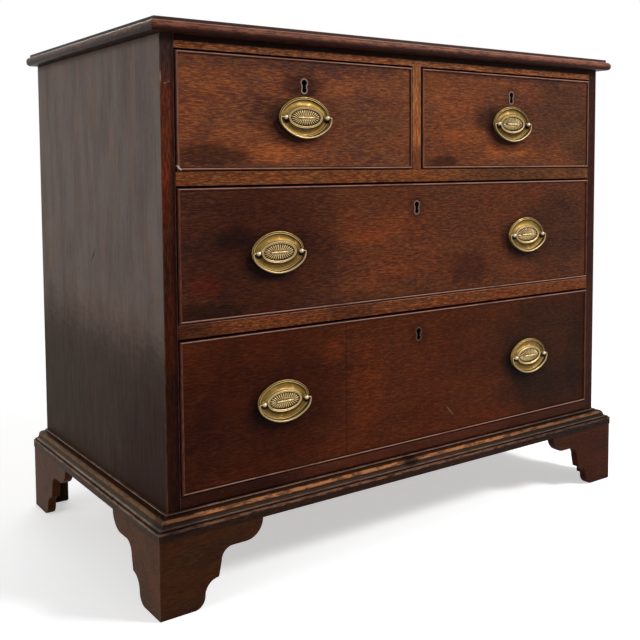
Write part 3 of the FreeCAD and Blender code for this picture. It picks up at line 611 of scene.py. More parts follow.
def timber_material(name, look):
    """Builds the material of one wooden surface."""
    material, shader, wires = new_material(name, look.body)
    place = wires.place()
    facing = wires.group(FACING, {"Place": place})
    along = wires.mapped(place, turn=GRAIN_TURN[look.along], shift=look.shift)
    grain = wires.group(TIMBER, {"Place": along, "Wander": look.wander})
    colour = grained_colour(wires, grain, look)
    colour = marked_colour(wires, place, facing, colour, look)
    # Painted shade and sheen on the faces round the corner.
    if look.side_tint != PLAIN:
        colour = wires.mix(facing["Side"], colour, look.side_tint, "MULTIPLY")
    # Painted shade on faces that do not look forward, as in the gaps round the drawers.
    if look.edge_tint != PLAIN:
        edge = wires.minus(1.0, facing["Front"])
        colour = wires.mix(edge, colour, look.edge_tint, "MULTIPLY")
    scratched = wires.mask(SCRATCHES, along, Amount=look.scratched)
    colour = wires.mix(scratched, colour, SCRATCH_PALE)
    rubbed = wires.mask(EDGES, place, Reach=look.rub_reach, Amount=look.rub)
    # On a bead, the wear along its crown, with a painted sheen on its upper front.
    if look.crown:
        crown = wires.times(bead_crown_wear_and_sheen(wires, grain, facing), look.crown)
        rubbed = wires.larger(rubbed, crown)
    colour = wires.mix(rubbed, colour, look.rubbed)
    # Painted shade on the faces of a bead that look up.
    if look.crown:
        colour = wires.mix(wires.span(facing["Rise"], 0.60, 0.85), colour, BEAD_TOP_SHADE)
    # Dirt, and painted shade, in hollows and corners.
    dirt = wires.mask(DIRT_AND_SHADE, place, Reach=look.dirt_reach, Amount=look.dirt)
    colour = wires.mix(dirt, colour, GRIME_AND_SHADE, "MULTIPLY")
    dust = wires.mask(DUST, place, Amount=look.dust)
    colour = wires.mix(dust, colour, DUST_GREY)
    wires.feed(shader.inputs["Base Color"], colour)
    rough = uneven_polish(wires, grain["Streak"], look.polish)
    rough = wires.plus(rough, wires.times(dirt, DIRT_ROUGHNESS))
    rough = wires.plus(rough, wires.times(dust, DUST_ROUGHNESS))
    wires.feed(shader.inputs["Roughness"], rough)
    shader.inputs["Specular IOR Level"].default_value = look.gloss
    dents = wires.clouds(place, DENT_SCALE)
    height = wires.plus(grain["Height"], wires.times(dents, DENT_DEPTH))
    height = wires.minus(height, wires.times(scratched, SCRATCH_DEPTH))
    add_bump(wires, shader, height, look.relief)
    return material


def wood(name, dark, body, bright, **changes):
    """The material of one wood, from the display values of its dark, usual and bright growth."""
    return timber_material(name, Timber(tone(*dark), tone(*body), tone(*bright), **changes))


@dataclass
class Brass:
    """What one brass fitting looks like.

    The levels say how far out of the wood, in millimetres, it begins to be rubbed and is rubbed
    in full. The hollow colour serves both the hollows and the painted shade. hollow_reach is in
    metres, underside, the painted shade on faces that look down, and crest are shares from
    0 to 1, and each painted shadow is (centre, spread) in metres.
    """
    body: tuple
    hollow: tuple
    rubbed: tuple
    polish: float = 0.44
    hollow_reach: float = 0.0020
    low_level: float = 1.5
    high_level: float = 2.7
    underside: float = 0.7
    crest: float = 0.0
    dirty: tuple = ()


# How far out of the wood, in millimetres, the grooves and flutes of a plate's boss lie.
SUNK_BELOW = (4.1, 3.4)
SUNK_ABOVE = (2.7, 3.1)
CREST_LEVEL = (4.0, 4.6)
CREST_BRASS = tone(208, 183, 134)
# How often the toning and the dark spots of brass repeat in a metre.
TONING_SCALE = 110.0
SPOT_SCALE = 420.0
# Shares of the wear on what stands out, the dark in what is sunk, and the dark of the spots.
LEVEL_RUB = 0.85
SUNK_DARK = 0.9
SPOT_DARK = 0.3
BRASS_GLOSS = 0.1
BRASS_RELIEF = 0.00003


def brass_material(name, look):
    """Toned brass: pale where hands rub it, brown in its hollows, with painted shade on its
    undersides and dirt and painted shade near other parts.
    """
    material, shader, wires = new_material(name, look.body)
    place = wires.place()
    toned = wires.clouds(place, TONING_SCALE, 3.0, 0.55)
    colour = wires.mix(wires.span(toned, 0.50, 0.85), look.body, look.rubbed)
    raised = wires.times(wires.minus(FACE, wires.part(place, "Y")), 1 / MM)
    worn = wires.span(raised, look.low_level, look.high_level)
    colour = wires.mix(wires.times(worn, LEVEL_RUB), colour, look.rubbed)
    sunk = wires.times(wires.span(raised, *SUNK_BELOW), wires.span(raised, *SUNK_ABOVE))
    colour = wires.mix(wires.times(sunk, SUNK_DARK), colour, look.hollow)
    edge = wires.mask(EDGES, place, Reach=0.0010, Amount=0.6)
    colour = wires.mix(edge, colour, look.rubbed)
    # Painted shade: faces that look down take the hollow colour.
    up = wires.part(wires.normal(), "Z")
    under_shade = wires.times(wires.span(up, 0.05, -0.50), look.underside)
    colour = wires.mix(under_shade, colour, look.hollow)
    spots = wires.span(wires.clouds(place, SPOT_SCALE, 3.0, 0.7), 0.62, 0.74)
    colour = wires.mix(wires.times(spots, SPOT_DARK), colour, look.hollow)
    # Dirt and painted shade in the hollows, with any painted shadows given for this fitting.
    dirt = wires.mask(DIRT_AND_SHADE, place, Reach=look.hollow_reach, Amount=1.4)
    for centre, spread in look.dirty:
        dirt = wires.larger(dirt, wires.mask(PATCH, place, Centre=centre, Spread=spread,
                                             Ragged=0.1))
    colour = wires.mix(dirt, colour, look.hollow)
    if look.crest:
        crest = wires.times(wires.span(raised, *CREST_LEVEL), look.crest)
        colour = wires.mix(crest, colour, CREST_BRASS)
    wires.feed(shader.inputs["Base Color"], colour)
    wires.feed(shader.inputs["Metallic"], wires.span(dirt, 0.2, 1.0, 0.85, 0.35))
    rough = uneven_polish(wires, toned, look.polish)
    wires.feed(shader.inputs["Roughness"], wires.plus(rough, wires.times(dirt, 0.3)))
    shader.inputs["Specular IOR Level"].default_value = BRASS_GLOSS
    add_bump(wires, shader, toned, BRASS_RELIEF)
    return material


def brass(name, body, hollow, rubbed, **changes):
    """One brass, from the display values of its toned face, its hollows and painted shade, and its
    rubbed places.
    """
    return brass_material(name, Brass(tone(*body), tone(*hollow), tone(*rubbed), **changes))


STEEL = tone(120, 112, 104)
DULL_STEEL = tone(92, 86, 80)
CLEAN_STEEL = tone(140, 132, 122)
WORN_STEEL = tone(170, 164, 156)
RUST = tone(96, 58, 36)
STEEL_RELIEF = 0.00008


def steel_material(name):
    """Old lock steel: grey brown, with rust freckles."""
    material, shader, wires = new_material(name, STEEL)
    place = wires.place()
    film = wires.clouds(place, 60.0, 5.0, 0.65)
    colour = wires.mix(wires.span(film, 0.35, 0.65), DULL_STEEL, CLEAN_STEEL)
    rust = wires.span(wires.clouds(place, 210.0, 4.0, 0.7), 0.55, 0.72)
    colour = wires.mix(rust, colour, RUST)
    edge = wires.mask(EDGES, place, Reach=0.0012, Amount=0.7)
    colour = wires.mix(edge, colour, WORN_STEEL)
    wires.feed(shader.inputs["Base Color"], colour)
    wires.feed(shader.inputs["Metallic"], wires.minus(0.9, wires.times(rust, 0.7)))
    wires.feed(shader.inputs["Roughness"], wires.span(film, 0.3, 0.7, 0.38, 0.55))
    brushed = wires.clouds(wires.mapped(place, (60, 60, 1500)))
    add_bump(wires, shader, wires.minus(brushed, rust), STEEL_RELIEF)
    return material


# ---- the finish of each wooden surface ----

SHADED_LEFT = tint(0.57, 0.50, 0.52)
GREY_BROWN = tint(0.56, 0.66, 0.80)
EVEN = tint(0.80, 0.84, 0.92)
DARK_END = tint(0.66, 0.76, 0.78)
PLUM = tint(0.60, 0.66, 0.90)
# Painted shade for the faces inside the openings.
GAP_SHADE_BLACK = tint(0.16, 0.12, 0.12)

# Marks on the drawer fronts: across, level, width, height, change of colour, raggedness.
FRONT_PATCHES = {
    "drawer_top_left": [
        (-370, 712, 70, 20, WARM), (-400, 668, 30, 26, WARM), (-330, 648, 60, 14, WARM),
        (-252, 617, 70, 15, GOLDEN), (-85, 660, 95, 90, EVEN), (-110, 712, 90, 14, WARM),
        (-367, 614, 75, 18, DEEP_STAIN), (-282, 672, 34, 32, STAIN),
        (-217, 714, 44, 22, DEEP_STAIN), (-230, 744, 210, 12, PLUM)],
    "drawer_top_right": [
        (78, 700, 64, 36, WARM), (110, 646, 70, 16, WARM), (203, 622, 60, 16, GOLDEN),
        (272, 714, 34, 12, tint(1.20, 0.94, 0.88)), (57, 604, 44, 12, DEEP_STAIN),
        (155, 676, 30, 26, DEEP_STAIN), (350, 690, 110, 90, GREY_BROWN, 0.4),
        (214, 749, 230, 8, PLUM), (404, 616, 44, 30, DARK_END, 0.4)],
    "drawer_middle": [
        (-290, 480, 150, 150, SHADED_LEFT, 0.25),
        (-400, 480, 90, 130, tint(0.84, 0.86, 0.92), 0.3),
        (-330, 498, 34, 26, DEEP_STAIN), (-372, 398, 60, 18, DEEP_STAIN),
        (-378, 436, 28, 20, REDDENED), (-278, 428, 22, 14, WARM), (-95, 508, 80, 40, WARM),
        (-20, 470, 120, 60, WARM, 0.4), (-90, 424, 80, 22, WARM), (117, 426, 54, 30, STAIN),
        (340, 480, 110, 90, GREY_BROWN, 0.4)],
    "drawer_bottom": [
        (-290, 258, 170, 150, SHADED_LEFT, 0.2), (-400, 210, 60, 100, STAIN),
        (-290, 330, 40, 34, WARM), (-166, 320, 22, 20, GOLDEN), (-98, 262, 44, 80, WARM),
        (320, 262, 160, 140, tint(0.46, 0.66, 0.86), 0.3), (330, 190, 140, 60, STAIN),
        (150, 300, 120, 90, EVEN), (410, 250, 50, 200, DARK_END, 0.3)],
}
FRONT_WOOD = {
    "drawer_top_left": [(82, 44, 34), (104, 58, 34), (146, 86, 46)],
    "drawer_top_right": [(78, 43, 31), (98, 54, 30), (138, 80, 42)],
    "drawer_middle": [(62, 32, 23), (80, 42, 24), (114, 63, 34)],
    "drawer_bottom": [(58, 22, 8), (72, 31, 12), (98, 46, 20)],
}
FRONT_OWN = {
    "drawer_middle": dict(
        leaves=[Leaf(-161, tint(0.91, 0.92, 0.97))],
        lines=[Line(-160, 1.2, 0.35, tone(60, 30, 20))]),
    "drawer_bottom": dict(
        pores=0.35, lines=[Line(-141, 1.0, 0.7, tone(22, 9, 6))],
        scars=[front_scar(73, 190, math.radians(-48), 14, 0.8, tone(126, 98, 80))]),
}


def front_material(drawer, index):
    """Veneer of one drawer front, with its own stains and faded places, painted shade on its edges
    and the painted shadow of each handle.
    """
    patches = on_front(*FRONT_PATCHES[drawer])
    for _, hinge in handle_places(drawer):
        across, level = hinge.x / MM, hinge.z / MM
        # The second patch, below and left of each handle, is the handle's painted shadow.
        patches += on_front((across, level - 4, 66, 48, STAIN, 0.45),
                            (across - 12, level - 9, 56, 40, INKY, 0.1))
    key = keyhole_place(drawer) / MM
    patches += on_front((key.x, key.z, 20, 24, STAIN, 0.4))
    return wood(drawer + "_veneer", *FRONT_WOOD[drawer], patches=patches,
                shift=(0.37 * index, 0.21 * index, 0.43 * index),
                edge_tint=tint(0.30, 0.26, 0.26), rub=0.1, dirt_reach=0.016, scratched=0.12,
                wander=0.014, **FRONT_OWN.get(drawer, {}))


def rail_material(name, shift, body, bright, **changes):
    """A rail between drawers: worn along its face, with painted shade making it black inside the
    opening.
    """
    return wood(name, (80, 38, 22), body, bright, shift=shift, edge_tint=GAP_SHADE_BLACK, flecks=0.9,
                rub=0.35, rub_reach=0.0014, dirt_reach=0.007, wander=0.006, **changes)


# Marks on the sides: place from front to back, level, depth, height, change, raggedness.
SIDE_PATCHES = [
    (0, 110, 900, 350, tint(0.72, 0.62, 0.56), 0.35),
    (0, 150, 900, 150, tint(0.92, 0.86, 0.80), 0.35),
    (-200, 150, 160, 190, tint(0.62, 0.46, 0.44), 0.4),
    (190, 200, 160, 230, tint(0.86, 0.92, 0.84), 0.4),
    (-150, 640, 60, 160, tint(0.90, 0.90, 0.90), 0.5)]
# The pale grey of the sides, partly a faded finish and partly a painted sheen, ends here, and
# brown begins below.
SIDE_BANDS = [Band(-60.0, 356.0, 48.0, 60.0, 0.0, 0.80, 0.80, tone(50, 36, 25))]
LEFT_SIDE_SCARS = [
    Scar((-SIDE_X, 15, 462), (math.radians(48), 0, 0), (9, 16, 1.4), tone(30, 16, 14))]


def side_material(name, sign):
    """A carcase side: pale grey above, partly a faded finish and partly a painted sheen, brown
    below, nearly black at the front foot.
    """
    patches = [Patch((sign * SIDE_X, y, z), (60, deep, high), change, ragged)
               for y, z, deep, high, change, ragged in SIDE_PATCHES]
    return wood(name, (94, 82, 75), (110, 97, 90), (116, 104, 96), along="Z",
                shift=(0.3 * sign, 0.2, 0.1), cast=0.4, streaks=0.35, flecks=0.3, shades=0.35,
                pores=0.15, wander=0.004, patches=patches, bands=SIDE_BANDS,
                scars=LEFT_SIDE_SCARS if sign < 0 else (), rub=0.8, rub_reach=0.003,
                rubbed=tone(150, 122, 104), dirt_reach=0.02, scratched=0.12, polish=0.5,
                gloss=0.03, relief=0.00010)


STILE_PATCHES = on_front(
    (-430, 768, 40, 62, tint(0.40, 0.86, 1.70), 0.3), (-434, 640, 12, 70, WARM, 0.7),
    (-436, 560, 9, 50, REDDENED, 0.7), (-418, 450, 9, 600, tint(0.34, 0.28, 0.30), 0.15),
    (-430, 420, 40, 160, tint(0.62, 0.50, 0.42), 0.4),
    (-430, 220, 40, 150, tint(0.30, 0.24, 0.22), 0.4),
    (432, 450, 40, 900, tint(0.44, 0.50, 0.64), 0.2))
STILE_SCARS = [
    front_scar(-432, 708, 0.3, 3.0, 0.7, tone(124, 96, 84)),
    front_scar(-427, 710, -0.5, 2.0, 0.6, tone(116, 88, 76)),
    front_scar(-439, 716, 0, 0.7, 9, tone(160, 128, 110))]
BEAD_SCARS = [front_scar(-415, 597, math.radians(-45), 6, 1.5, tone(214, 200, 186))]
# From the foot of the moulding up: the fascia, then the lines of its step, cove, ovolo and bead.
# The black line above the fascia, the dark cove and the dark band under the bead are painted
# shade.
MOULDING_BANDS = bands_from(
    FASCIA_TOP,
    (-14.0, -1.6, 0.5, 1.0, 0.15, 0.95, 0.85, tone(34, 19, 12)),
    (-3.4, 0.2, 0.4, 3.0, 0.90, 0.80, 0.60, tone(128, 92, 72)),
    (0.2, 2.1, 0.3, 0.4, 0.10, 1.00, 1.00, tone(16, 8, 5)),
    (2.3, 2.7, 0.2, 0.3, 0.40, 1.00, 1.00, tone(150, 122, 108)),
    (2.9, 7.6, 0.4, 0.5, 0.10, 0.97, 0.80, tone(50, 37, 26)),
    (8.0, 12.0, 0.5, 2.4, 0.80, 0.90, 0.15, tone(178, 116, 72)),
    (12.4, 14.3, 0.4, 0.5, 0.15, 0.95, 0.95, tone(44, 24, 13)),
    (14.4, 15.1, 0.3, 0.5, 0.45, 1.00, 1.00, tone(186, 148, 130)))
# An old mend, the stained left corner and the duller right end.
MOULDING_PATCHES = [
    Patch((-24, -248, MOULDING_FOOT + 21.5), (20, 30, 8), INKY, 0.1),
    Patch((-436, -248, MOULDING_FOOT + 20.0), (50, 30, 24), DEEP_STAIN, 0.3),
    Patch((400, -262, MOULDING_FOOT + 23.0), (260, 40, 30), tint(0.50, 0.56, 0.64), 0.2)]
FOOT_PATCHES = [Patch((450, -262, 50), (130, 70, 110), tint(0.90, 0.62, 0.44), 0.3)]
# On the front of the top, from the top down: a dark fillet, a pale line painted as a highlight on
# the nose, the reddish nose, and painted shade on its underside.
NOSE_BANDS = [
    *bands_from(TOP_LEVEL,
                (-4.2, -0.8, 0.5, 0.6, 0.10, 0.95, 0.95, tone(54, 38, 32)),
                (-6.2, -4.3, 0.4, 1.2, 0.45, 0.90, 1.00, tone(168, 130, 114))),
    Band(TOP_UNDERSIDE + 7.0, TOP_LEVEL - 6.4, 1.5, 7.0, 0.95, 0.60, 0.80, tone(142, 86, 62)),
    *bands_from(TOP_UNDERSIDE, (-1.0, 5.4, 3.0, 3.0, 0.0, 0.95, 0.92, tone(30, 11, 8)))]
TOP_RAIL_SHADOW = bands_from(
    TOP_UNDERSIDE, (-8.6, 1.0, 1.4, 1.5, 0.0, 0.97, 0.97, tone(12, 4, 5)))
UPPER_ARRIS = bands_from(
    UPPER_RAIL_TOP, (-2.0, 0.2, 0.3, 0.8, 0.60, 0.45, 0.45, tone(170, 104, 66)))
LOWER_ARRIS = bands_from(
    LOWER_RAIL_TOP, (-2.0, 0.2, 0.3, 0.8, 0.35, 0.85, 0.85, tone(206, 146, 118)))
# Dirt and painted shade in the crease above the moulding, along the foot of the bottom rail.
BOTTOM_RAIL_DIRT_AND_SHADE = bands_from(RAIL_FOOT, (-1.0, 3.4, 1.0, 1.0, 0.0, 0.9, 0.9, tone(22, 5, 3)))


def carcase_materials():
    """Finishes of the carcase: sides, stiles, rails, top, base moulding and feet."""
    return {
        "side_left": side_material("side_left_mahogany", -1),
        "side_right": side_material("side_right_mahogany", 1),
        "stile": wood(
            "stile_mahogany", (42, 18, 11), (78, 37, 23), (110, 56, 33), along="Z",
            shift=(0.5, 0.1, 0.9), streaks=0.12, flecks=0.5, patches=STILE_PATCHES,
            scars=STILE_SCARS, rub=1.0, rub_reach=0.0028, rubbed=tone(140, 104, 86), dirt=1.0,
            dirt_reach=0.014, scratched=0.1),
        "top_rail": rail_material(
            "top_rail_mahogany", (0.2, 0.7, 0.1), (114, 66, 42), (168, 104, 60),
            bands=TOP_RAIL_SHADOW),
        "upper_rail": rail_material(
            "upper_rail_mahogany", (1.2, 0.4, 0.6), (104, 57, 30), (148, 88, 46),
            bands=UPPER_ARRIS, patches=on_front((260, 582, 220, 40, GREY_BROWN, 0.3))),
        "lower_rail": rail_material(
            "lower_rail_mahogany", (2.2, 0.9, 0.3), (84, 42, 24), (146, 82, 40),
            bands=LOWER_ARRIS, patches=on_front((-410, 376, 70, 30, DEEP_STAIN),
                                                (-130, 376, 60, 30, STAIN))),
        "bottom_rail": rail_material(
            "bottom_rail_mahogany", (3.2, 0.2, 0.8), (54, 24, 14), (86, 42, 26),
            bands=BOTTOM_RAIL_DIRT_AND_SHADE, patches=on_front((-350, 142, 150, 40, DEEP_STAIN, 0.3),
                                                     (340, 142, 180, 40, DARK_END, 0.3))),
        "muntin": wood(
            "muntin_mahogany", (112, 62, 34), (152, 90, 52), (184, 118, 70), along="Z",
            shift=(0.8, 1.1, 0.2), flecks=0.8, patches=on_front((0, 604, 30, 28, DEEP_STAIN, 0.4)),
            edge_tint=GAP_SHADE_BLACK, rub=0.5, rub_reach=0.0014, dirt_reach=0.006),
        "top": wood(
            "top_mahogany", (58, 25, 17), (92, 46, 32), (128, 72, 50), shift=(0.1, 1.4, 0.7),
            bands=NOSE_BANDS, side_tint=tint(0.50, 0.74, 0.75), rub=0.3,
            rubbed=tone(150, 112, 92), dirt=0.9, dust=0.03, polish=0.36, gloss=0.07),
        "base": wood(
            "base_mahogany", (50, 29, 21), (74, 44, 30), (104, 66, 44), shift=(0.9, 0.3, 1.6),
            streaks=0.5, bands=MOULDING_BANDS, patches=MOULDING_PATCHES,
            side_tint=tint(1.55, 2.05, 2.15), rub=0.2, rub_reach=0.0012,
            rubbed=tone(158, 118, 92), dirt=0.9, dirt_reach=0.006),
        "foot": wood(
            "foot_mahogany", (42, 21, 10), (57, 30, 14), (78, 43, 22), shift=(1.9, 0.6, 0.2),
            streaks=0.3, flecks=0.5, shades=0.5, pores=0.25, patches=FOOT_PATCHES,
            side_tint=tint(1.80, 2.10, 1.90), rub=0.4, rub_reach=0.0014,
            rubbed=tone(104, 78, 60), dirt=0.9, dirt_reach=0.02, scratched=0.1),
        # The foot blocks are dark pine: partly dirt, partly painted shade under the chest.
        "foot_block": wood(
            "foot_block_pine", (40, 28, 18), (58, 42, 28), (74, 56, 38), along="Z", flecks=0.2,
            pores=0.15, dirt=0.95, dirt_reach=0.05, polish=0.75),
    }


def inner_materials():
    """Finishes of the parts behind the fronts: oak linings, pine boards and strips."""
    return {
        "oak": wood(
            "drawer_oak", (138, 106, 72), (172, 138, 98), (196, 164, 122), along="Y", pores=0.45,
            rub=0.3, rubbed=tone(150, 118, 84), dirt=0.9, dirt_reach=0.03, dust=0.12,
            polish=0.68, gloss=0.2),
        "oak_bottom": wood(
            "drawer_bottom_oak", (142, 110, 76), (178, 145, 104), (200, 168, 128),
            shift=(0.4, 0.2, 0.9), pores=0.4, rub=0.2, dirt=0.9, dirt_reach=0.03, dust=0.25,
            polish=0.7, gloss=0.2),
        "pine": wood(
            "back_pine", (104, 74, 48), (142, 104, 68), (164, 126, 86), along="Z", flecks=0.2,
            pores=0.15, wander=0.03, rub=0.3, rubbed=tone(120, 90, 62), dirt=0.95,
            dirt_reach=0.02, dust=0.1, polish=0.74, gloss=0.2),
        "pine_strip": wood(
            "runner_pine", (110, 80, 52), (150, 112, 74), (170, 132, 92), along="Y", flecks=0.2,
            pores=0.15, wander=0.02, rub=0.3, dirt=0.9, dust=0.1, polish=0.74, gloss=0.2),
    }


def bead_materials():
    """Finishes of the cockbeads: the level strips, and the uprights, which have less wear and
    painted sheen.
    """
    return {
        label: wood(
            label + "_mahogany", (56, 27, 19), (78, 40, 27), (108, 62, 44), along=along,
            scars=BEAD_SCARS, crown=worn, rub=0.2, rub_reach=0.0010, rubbed=tone(172, 132, 116),
            dirt=0.8, dirt_reach=0.005, scratched=0.1, polish=0.36)
        for label, along, worn in (("level_bead", "X", 0.85), ("upright_bead", "Z", 0.30),
                                   ("dull_bead", "Z", 0.06))}


PLATE_BRASS = [(112, 87, 40), (26, 17, 6), (166, 139, 92)]
# A darker copy for the top right drawer's plates: painted shade against the stronger light on
# them.
SHADED_PLATE_BRASS = [(96, 74, 34), (26, 17, 6), (144, 119, 78)]
# Painted shadow of a post's ball, beside and below the foot of the post: how far from its middle,
# and how far the shadow spreads.
POST_SHADOW_BESIDE = 4.0 * MM
POST_SHADOW_BELOW = 4.5 * MM
POST_SHADOW_SPREAD = (7.5 * MM, 12.0 * MM, 5.0 * MM)


def plate_material(drawer):
    """Brass of one drawer's plates, with the shadow of each post's ball painted dark beside and
    below its foot.
    """
    dirty = [((post + POST_SHADOW_BESIDE, FACE, hinge.z - POST_SHADOW_BELOW), POST_SHADOW_SPREAD)
             for _, hinge in handle_places(drawer) for post in post_places(hinge)]
    colours = SHADED_PLATE_BRASS if drawer == "drawer_top_right" else PLATE_BRASS
    return brass(drawer + "_plate_brass", *colours, crest=0.85, dirty=dirty)


def keyhole_brass(name, *colours):
    return brass(name, *colours, polish=0.5, low_level=-3.0, high_level=3.0, underside=0.3)


def metal_materials():
    """Finishes of the brass fittings and of the steel locks."""
    made = {drawer + "_plates": plate_material(drawer) for drawer in DRAWERS}
    made["knob_brass"] = brass("knob_brass", (176, 156, 126), (60, 44, 28), (206, 188, 160),
                               polish=0.36, hollow_reach=0.001, underside=0.5)
    made["bail_brass"] = brass("bail_brass", (128, 104, 64), (30, 20, 8), (160, 138, 98),
                               polish=0.38, underside=0.9)
    made["key_brass"] = keyhole_brass("keyhole_brass", (72, 58, 50), (34, 24, 18), (122, 104, 94))
    made["dark_key_brass"] = keyhole_brass("dark_keyhole_brass", (52, 37, 26), (24, 14, 8),
                                           (96, 74, 58))
    made["steel"] = steel_material("lock_steel_old")
    return made


def make_materials():
    """Every finish on the chest, by name."""
    fronts = {drawer: front_material(drawer, index + 1) for index, drawer in enumerate(DRAWERS)}
    return {**fronts, **bead_materials(), **carcase_materials(), **inner_materials(),
            **metal_materials()}


MATERIALS = make_materials()


# ---- pieces ----

def put_in_scene(name, data):
    made = bpy.data.objects.new(name, data)
    bpy.context.scene.collection.objects.link(made)
    return made


def add_piece(name, mesh, material, body, replaced=()):
    """Puts a finished mesh in the scene, on its body."""
    piece = put_in_scene(name, mesh)
    mesh.materials.clear()
    mesh.materials.append(material)
    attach(piece, body)
    if replaced:
        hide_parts(*replaced)
    return piece


def finish_mesh(bm, name, sharp_degrees=38.0):
    """Turns a bmesh into a smooth-shaded mesh whose hard corners stay hard."""
    mesh = bpy.data.meshes.new(name)
    bm.to_mesh(mesh)
    bm.free()
    for face in mesh.polygons:
        face.use_smooth = True
    mesh.set_sharp_from_angle(angle=math.radians(sharp_degrees))
    return mesh


def edges_of(verts):
    return list({edge for vert in verts for edge in vert.link_edges})


def ease_edges(bm, edges, ease):
    """Rounds edges off, as use has rounded them."""
    bmesh.ops.bevel(bm, geom=edges, offset=ease, offset_type="OFFSET", segments=2, profile=0.5,
                    affect="EDGES", clamp_overlap=True, material=-1)


# In degrees: faces that meet at less than the first are one face, edges sharper than the second
# are eased.
FLAT_CORNER = 0.8
HARD_CORNER = 28.0
# Points nearer than this, in metres, are one point.
SAME_PLACE = 1e-6
# Faces whose normal points this far to the front look forward.
LOOKS_FORWARD = -0.7


def eased_copy(node, material, ease=0.0007, front=None):
    """A copy of a part with every hard edge eased, in place of the part.

    It stays inside the part's own box. Its faces that look forward can have their own finish.
    """
    bm = bmesh.new()
    bm.from_mesh(NODES[node].data)
    bmesh.ops.remove_doubles(bm, verts=bm.verts, dist=SAME_PLACE)
    bmesh.ops.dissolve_limit(bm, angle_limit=math.radians(FLAT_CORNER), verts=bm.verts,
                             edges=bm.edges)
    hard = [edge for edge in bm.edges
            if edge.is_manifold and edge.calc_face_angle(0.0) > math.radians(HARD_CORNER)]
    ease_edges(bm, hard, ease)
    low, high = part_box(node)
    for vert in bm.verts:
        vert.co = [min(max(value, least), most) for value, least, most in zip(vert.co, low, high)]
    mesh = finish_mesh(bm, node + "_eased")
    piece = add_piece(node + "_eased", mesh, MATERIALS[material],
                      NODES[node]["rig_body"], (node,))
    if front:
        mesh.materials.append(MATERIALS[front])
        for face in mesh.polygons:
            face.material_index = int(face.normal.y < LOOKS_FORWARD)
    piece.modifiers.new("even_shading", "WEIGHTED_NORMAL").keep_sharp = True
    return piece


def add_bead(drawer):
    """The cockbead round a front, its uprights with a finish of their own."""
    mesh = eased_copy(drawer + "_cockbead", "level_bead", ease=0.0002).data
    mesh.materials.append(MATERIALS["upright_bead" if "top" in drawer else "dull_bead"])
    low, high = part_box(drawer + "_cockbead")
    middle, half = (low + high) / 2, (high - low) / 2
    for face in mesh.polygons:
        from_end = half.x - abs(face.center.x - middle.x)
        from_edge = half.z - abs(face.center.z - middle.z)
        face.material_index = int(from_end < from_edge)


def keep_part(node, material):
    """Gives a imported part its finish."""
    mesh = NODES[node].data
    mesh.materials.clear()
    mesh.materials.append(MATERIALS[material])


# ---- oval handles ----

ONE_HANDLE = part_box("drawer_top_left_handles")
PLATE_HALF_WIDTH = (ONE_HANDLE[1].x - ONE_HANDLE[0].x) / 2
PLATE_HALF_HEIGHT = (ONE_HANDLE[1].z - ONE_HANDLE[0].z) / 2
PLATE_END_RADIUS = 21.5 * MM
END_ARC_STEPS = 28
FLAT_ARC_STEPS = 90
FLUTE_PITCH = 4.4 * MM
FIELD_INSET = 18.2
BAR_HALF_LENGTH = 14.0
BAR_HALF_HEIGHT = 1.6
# Between these insets, in millimetres, the rings turn from the plate's outline to an ellipse.
ELLIPSE_STARTS = 5.0
ELLIPSE_RULES = 12.0

# Section of the stamped plate from its edge inwards: (inset, height) in millimetres.
PLATE_SECTION = [
    (0.0, 0.0), (0.0, 0.8), (0.25, 1.5), (0.7, 2.1), (1.3, 2.2), (1.75, 1.7), (2.05, 0.8),
    (2.35, 1.6), (2.8, 2.5), (3.4, 2.8), (4.0, 2.6), (4.4, 1.9), (4.7, 0.9), (5.4, 0.5),
    (6.8, 0.35), (8.6, 0.4), (10.6, 0.8), (12.4, 1.5), (13.6, 2.2), (14.2, 2.8), (14.4, 3.6),
    (14.8, 4.4), (15.4, 4.8), (15.95, 4.5), (16.3, 3.8), (16.6, 4.2), (17.1, 4.9), (17.6, 4.7),
    (17.95, 4.0), (FIELD_INSET, 3.2)]
# The fluted field, from its ring to the bar: (share of the way, height, depth of the flutes).
FIELD_SECTION = [(0.05, 3.1, 0.0), (0.10, 3.9, 0.7), (0.34, 4.7, 1.6), (0.60, 4.9, 1.6),
                 (0.80, 4.8, 1.2), (0.92, 4.2, 0.3), (1.0, 3.9, 0.0)]
BAR_LEVEL = 5.4
# The bar across the boss, from its middle to one end: (distance along it, radius).
BAR_HALF = [(0.0, 2.1), (2.2, 1.0), (3.4, 1.0), (4.6, 1.75), (8.0, 1.35), (11.3, 0.7),
            (12.0, 0.75), (12.7, 1.1), (13.4, 0.95), (14.0, 0.5), (14.2, 0.0)]
BAR_SECTION = [(radius, -along) for along, radius in reversed(BAR_HALF[1:])]
BAR_SECTION += [(radius, along) for along, radius in BAR_HALF]
# Section of a post from the plate to the foot of its ball: (radius, height).
POST_SECTION = [(0.0, 0.5), (3.6, 0.5), (3.7, 1.0), (3.4, 1.5), (2.7, 1.8), (2.3, 2.4),
                (2.2, 3.2), (2.2, 3.68)]
BALL_RADIUS = 3.5
# What stands further out than this beside a post, in millimetres, is its ball, rubbed bright.
KNOB_LEVEL = 3.6
KNOB_REACH = 5.0 * MM
BALL_STEPS = 10
STEM_SECTION = [(0.0, -5.3), (1.9, -5.3), (2.5, -4.7), (2.5, 0.5)]
NUT_SIZE = 9 * MM
NUT_THICKNESS = 3 * MM
NUT_EASE = 0.5 * MM


def oval_shape(half_width, half_height, end_radius):
    """A four-centred oval: how far out its end arcs are centred, the radius and the drop of its
    flat arcs, and the angle where the arcs meet."""
    reach = half_width - end_radius
    flat_radius = (reach ** 2 + half_height ** 2 - end_radius ** 2) / (
        2 * (half_height - end_radius))
    drop = flat_radius - half_height
    return reach, flat_radius, drop, math.atan2(drop, reach)


